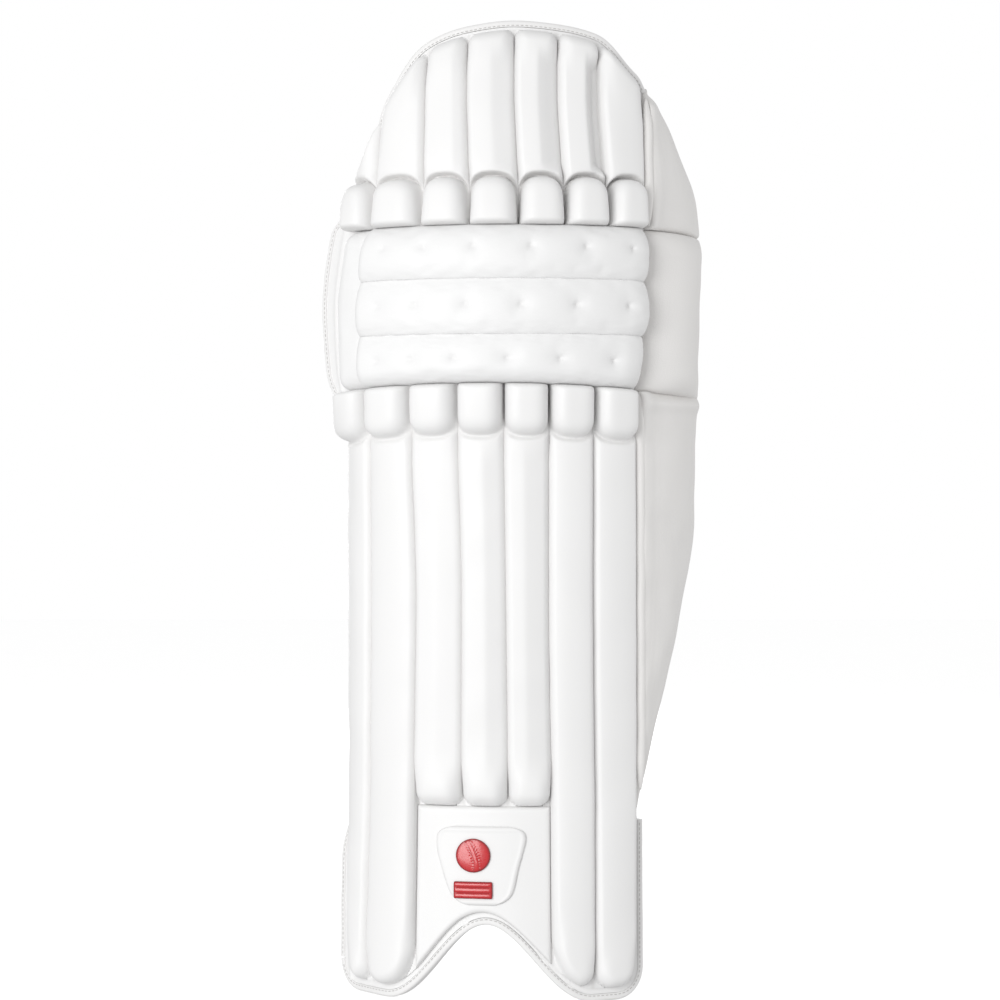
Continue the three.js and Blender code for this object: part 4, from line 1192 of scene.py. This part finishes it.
def bindingPiece(name, path, away, look):
    low = -pattern["boardThickness"] - look["lip"]
    width, lip, radius = look["width"], look["lip"], look["round"]
    outline = [(0.0, low + 0.3), (0.0, lip - 0.35), (0.35, lip)]
    for middle, start in ((lip - radius, 90), (low + radius, 0)):       # the two rounded corners
        for turn in np.radians(np.linspace(start, start - 90, 6)):
            outline.append((width - radius + radius * math.cos(turn), middle + radius * math.sin(turn)))
    outline.append((0.35, low))
    wave = 0.12 * wobble(path[:, 0], path[:, 1], 24, 120)
    rings = []
    for aside, out in outline:
        place = path + away * (aside + gap)
        rings.append(bend(place[:, 0], place[:, 1], out + wave * (out > 0)))
    points = np.stack(rings, 1).reshape(-1, 3)
    faces = ringFaces(len(path), len(outline), flipped=True)
    seam = np.tile([1.0 if aside < 0.2 else 0.0 for aside, out in outline], len(path))
    made = meshFrom(name, points, faces, edgeTape, seam=seam, sharp=50)
    tidyMesh(made)
    dress(made, "binding_tape", name)


def bindings(look):                                 # gives the two rows for the stitches
    left, crown, right, sole = edgePath()
    step, half = look["step"], pattern["archHalfWidth"]
    whole = smoothed(evenly(np.concatenate([left, crown[1:]]), step), 4)
    foot = smoothed(evenly(np.concatenate([right, sole[1:], left[1:40]]), step), 3)
    awayWhole, awayFoot = awayFrom(whole), awayFrom(foot)
    corner = len(evenly(left, step))
    onSole = np.arange(len(foot)) > len(evenly(right, step))
    archRight, archLeft = (int(np.argmax(onSole & (foot[:, 0] < edge))) for edge in (half, -half))
    start = int(np.argmin(np.linalg.norm(foot - whole[0], axis=1)))
    pieces = [("binding_left", whole, awayWhole, 0, corner),
              ("binding_crown", whole, awayWhole, corner - 1, len(whole)),
              ("binding_right_foot", foot, awayFoot, 0, archRight + 1),
              ("binding_arch", foot, awayFoot, archRight, archLeft + 1),
              ("binding_left_foot", foot, awayFoot, archLeft, start + 1)]
    for name, path, away, first, last in pieces:
        bindingPiece(name, path[first:last], away[first:last], look)
    rows = []
    for path, away in ((whole, awayWhole), (foot[:start], awayFoot[:start])):
        place = path + away * (gap + look["seamInset"])
        out = np.full(len(path), look["lip"] + 0.05)
        rows.append(onPattern(np.column_stack([place, out]), stitchLook))
    return rows


# Straps behind the leg
strapLook = {
    "thickness": 2.5, "width": 38.0, "reach": 124.0, "tab": 24.0, "inset": 10.0, "lift": 14.0,
    "pull": 0.62, "flat": 0.42,
    # the loose end lies over these points of the strap's line, and is a little thinner and narrower
    "tail": {"from": 22, "to": 58, "lift": 1.1, "thickness": 1.9, "narrower": 1.5, "threadInset": 2},
    "boxInset": {"across": 3, "level": 4},          # of the sewn box inside the strap's end
    # name, level of the lower edge, and its reach behind the leg as a share
    "straps": [("strap_ankle", zone("shin", 0.11), 0.92), ("strap_calf", zone("shin", 0.79), 1.0),
               ("strap_knee", zone("knee", 0.5), 1.0)],
}


def bezier(a, b, c, d, count):
    t = np.linspace(0, 1, count)[:, None]
    return (1 - t) ** 3 * a + 3 * (1 - t) ** 2 * t * b + 3 * (1 - t) * t * t * c + t ** 3 * d


def turned(vector, degrees):
    c, s = math.cos(math.radians(degrees)), math.sin(math.radians(degrees))
    x, y = unit(vector)
    return np.array([c * x - s * y, s * x + c * y])


def strapLine(level, reach, look):                  # (x, y) of the strap's middle, in pattern mm
    inner = -pattern["boardThickness"] - 2 * gap - look["thickness"] / 2
    first, last = leftEdge(level) + look["inset"], rightEdge(level) - look["inset"]

    def place(across):
        x, y, heading = section(across, level)
        return np.array([float(x + inner * np.sin(heading)), float(y - inner * np.cos(heading))])

    shares = np.linspace(1, 0, 9)
    tab = np.array([place(first + s * look["tab"]) for s in shares])
    other = np.array([place(last - s * look["tab"]) for s in shares[::-1]])
    back = look["reach"] * reach - look["thickness"] / 2
    start, end = tab[-1], other[0]
    leave = turned(start - tab[-2], -look["lift"])
    arrive = turned(end - other[1], look["lift"])
    middle = np.array([(start[0] + end[0]) / 2, back])
    pull = look["pull"] * (back - max(start[1], end[1]))
    flat = look["flat"] * (end[0] - start[0])
    aside = np.array([flat, 0])
    one = bezier(start, start + pull * leave, middle - aside, middle, 46)
    two = bezier(middle, middle + aside, end + pull * arrive, end, 46)
    return np.concatenate([tab, one[1:], two[1:], other[1:]])


# lines is one (x, y) path for each level; the band is closed, with rounded edges
def bandMesh(name, lines, levels, thickness, material, lengths):
    side = awayFrom(lines)
    share = np.linspace(0, 1, len(levels))
    edge = least(share, 1 - share) * (levels[-1] - levels[0])
    fat = thickness / 2 * risingFrom(0.35, edge, 1.6)
    layers = []
    for sign in (1, -1):
        flat = lines + sign * side * fat[:, None, None] + np.array(pattern["origin"])
        z = np.broadcast_to(levels[:, None, None], (*flat.shape[:2], 1))
        layers.append(np.concatenate([flat, z], -1).transpose(1, 0, 2))
    points = np.concatenate([layer.reshape(-1, 3) for layer in layers]) / 1000
    wide, high = layers[0].shape[:2]
    places = np.stack(np.broadcast_arrays(lengths[:, None], levels[None, :]), -1).reshape(-1, 2)
    seam = np.tile(hump(edge - 3.0, 0.8), 2 * wide)
    made = meshFrom(name, points, gridFaces(wide, high), material, np.tile(places, (2, 1)), seam, 50)
    tidyMesh(made)
    return made


def strap(name, level, reach, look):                # gives the rows for its stitches
    share = np.concatenate([[0, 0.02, 0.05], np.linspace(0.1, 0.9, 9), [0.95, 0.98, 1]])
    levels = level + look["width"] * share
    bottom, top = strapLine(level, reach, look), strapLine(level + look["width"], reach, look)
    lines = np.array([bottom + s * (top - bottom) for s in share])
    lengths = travelled(bottom)
    band = bandMesh(name, lines, levels, look["thickness"] - 0.3, strapWebbing, lengths)
    dress(band, "strap_webbing", name)
    # the loose end, held down by hook-and-loop, lies on the outside of the band
    tail = look["tail"]
    pick = slice(tail["from"], tail["to"])
    outer = lines[:, pick]
    side = awayFrom(outer)
    lift = look["thickness"] / 2 + tail["lift"]
    tailLevels = level + tail["narrower"] + (look["width"] - 2 * tail["narrower"]) * share
    end = bandMesh(f"{name}_tail", outer + side * lift, tailLevels, tail["thickness"], strapWebbing,
                   lengths[pick])
    dress(end, "strap_webbing")

    # threads: a row round the loose end, and a box where each end is sewn to the board
    inset = tail["threadInset"]
    face = outer + side * (lift + tail["thickness"] / 2) + np.array(pattern["origin"])

    def along(row, places):
        return [(*face[row, n], tailLevels[row], *side[row, n], 0) for n in places]

    forth = range(inset, len(face[0]) - inset)
    low, high = along(inset, forth), along(-1 - inset, forth[::-1])
    paths = [evenly(np.array(low + high + low[:1]), stitchLook["pitch"])]
    behind = -pattern["boardThickness"] - 2 * gap - look["thickness"]
    half, box = look["tab"] / 2, look["boxInset"]
    bottom, top = level + box["level"], level + look["width"] - box["level"]
    for middle in (leftEdge(level) + look["inset"] + half, rightEdge(level) - look["inset"] - half):
        first, last = middle - half + box["across"], middle + half - box["across"]
        corners = [(first, bottom), (last, bottom), (last, top), (first, top)]
        rounds = corners + [corners[0], corners[2]]
        paths.append(onPattern([(*corner, behind) for corner in rounds], stitchLook))
    return paths


board(boardLook)
print("board done")
shinRolls(rollLook)
thighRolls(rollLook)
print("rolls done")
kneeSection(kneeLook)
instepPanel(instepLook)
badge(badgeLook)
print("knee, instep and badge done")
wing(wingLook)
stitchRow(bindings(bindingLook), "binding_stitches", stitchLook)
threads = []
for name, level, reach in strapLook["straps"]:
    threads.extend(strap(name, level, reach, strapLook))
stitchRow(threads, "strap_stitches", stitchLook)
print("wing, binding and straps done")

# Camera, lights and floor
stageLook = {
    "camera": (-0.00892, -1.94971, 0.360),
    "lens": 95.0,
    "aimedAt": (0, 0, 0.36),
    # place, width and power of each soft light
    "lights": {
        "key": {"place": (-1.12, -2.17, 0.66), "size": 1.4, "power": 35.5},
        "fill": {"place": (2.1, 0.5, 0.5), "size": 1.2, "power": 9.5},
        "back": {"place": (-0.6, 2.4, 0.8), "size": 1.4, "power": 24.0},
    },
    "sky": 0.575,
    "floorColour": 0.85,
    "floorGlow": 0.5,                     # keeps the floor as pale as the backdrop
    "floorSize": 6.0,
    "floorDrop": 0.0004,
}


def softbox(name, light, target):
    lamp = bpy.data.lights.new(name, "AREA")
    lamp.shape, lamp.size, lamp.energy = "SQUARE", light["size"], light["power"]
    made = bpy.data.objects.new(name, lamp)
    bpy.context.scene.collection.objects.link(made)
    made.location = light["place"]
    made.rotation_euler = (Vector(target) - made.location).to_track_quat("-Z", "Y").to_euler()


def studio(look):
    scene = bpy.context.scene
    camera = bpy.data.cameras.new("camera")
    camera.lens, camera.sensor_width = look["lens"], 36.0
    camera.clip_start, camera.clip_end = 0.05, 50
    view = bpy.data.objects.new("camera", camera)
    scene.collection.objects.link(view)
    view.location = look["camera"]
    view.rotation_euler = (math.radians(90), 0, 0)
    scene.camera = view

    for name, light in look["lights"].items():
        softbox(f"{name}_light", light, look["aimedAt"])

    world = bpy.data.worlds.new("studio")
    scene.world = world
    world.use_nodes = True
    nodes, links = world.node_tree.nodes, world.node_tree.links
    seen, lit = nodes["Background"], nodes.new("ShaderNodeBackground")
    for background, strength in ((seen, 1.0), (lit, look["sky"])):
        background.inputs["Color"].default_value = (1, 1, 1, 1)
        background.inputs["Strength"].default_value = strength
    path, mix = nodes.new("ShaderNodeLightPath"), nodes.new("ShaderNodeMixShader")
    links.new(path.outputs["Is Camera Ray"], mix.inputs[0])
    links.new(lit.outputs[0], mix.inputs[1])
    links.new(seen.outputs[0], mix.inputs[2])
    links.new(mix.outputs[0], nodes["World Output"].inputs["Surface"])

    s = Shader("studio floor")
    grain = s.noise(3.0, 2.0)
    pale = look["floorColour"]
    s.finish(colour=s.blend(grain, grey(pale), grey(pale - 0.01)), roughness=0.9, specular=0.1)
    s.surface.inputs["Emission Color"].default_value = (1, 1, 1, 1)
    s.surface.inputs["Emission Strength"].default_value = look["floorGlow"]
    size = look["floorSize"]
    corners = [(-size, -size, 0), (size, -size, 0), (size, size, 0), (-size, size, 0)]
    floor = meshFrom("studio_floor", corners, [(0, 1, 2, 3)], s.material, sharp=0)
    floor.location.z = -look["floorDrop"]
    floor.visible_diffuse = floor.visible_glossy = False

    scene.view_settings.view_transform = "Standard"
    scene.view_settings.look = "None"
    scene.view_settings.exposure = 0.0


studio(stageLook)
print("studio done")
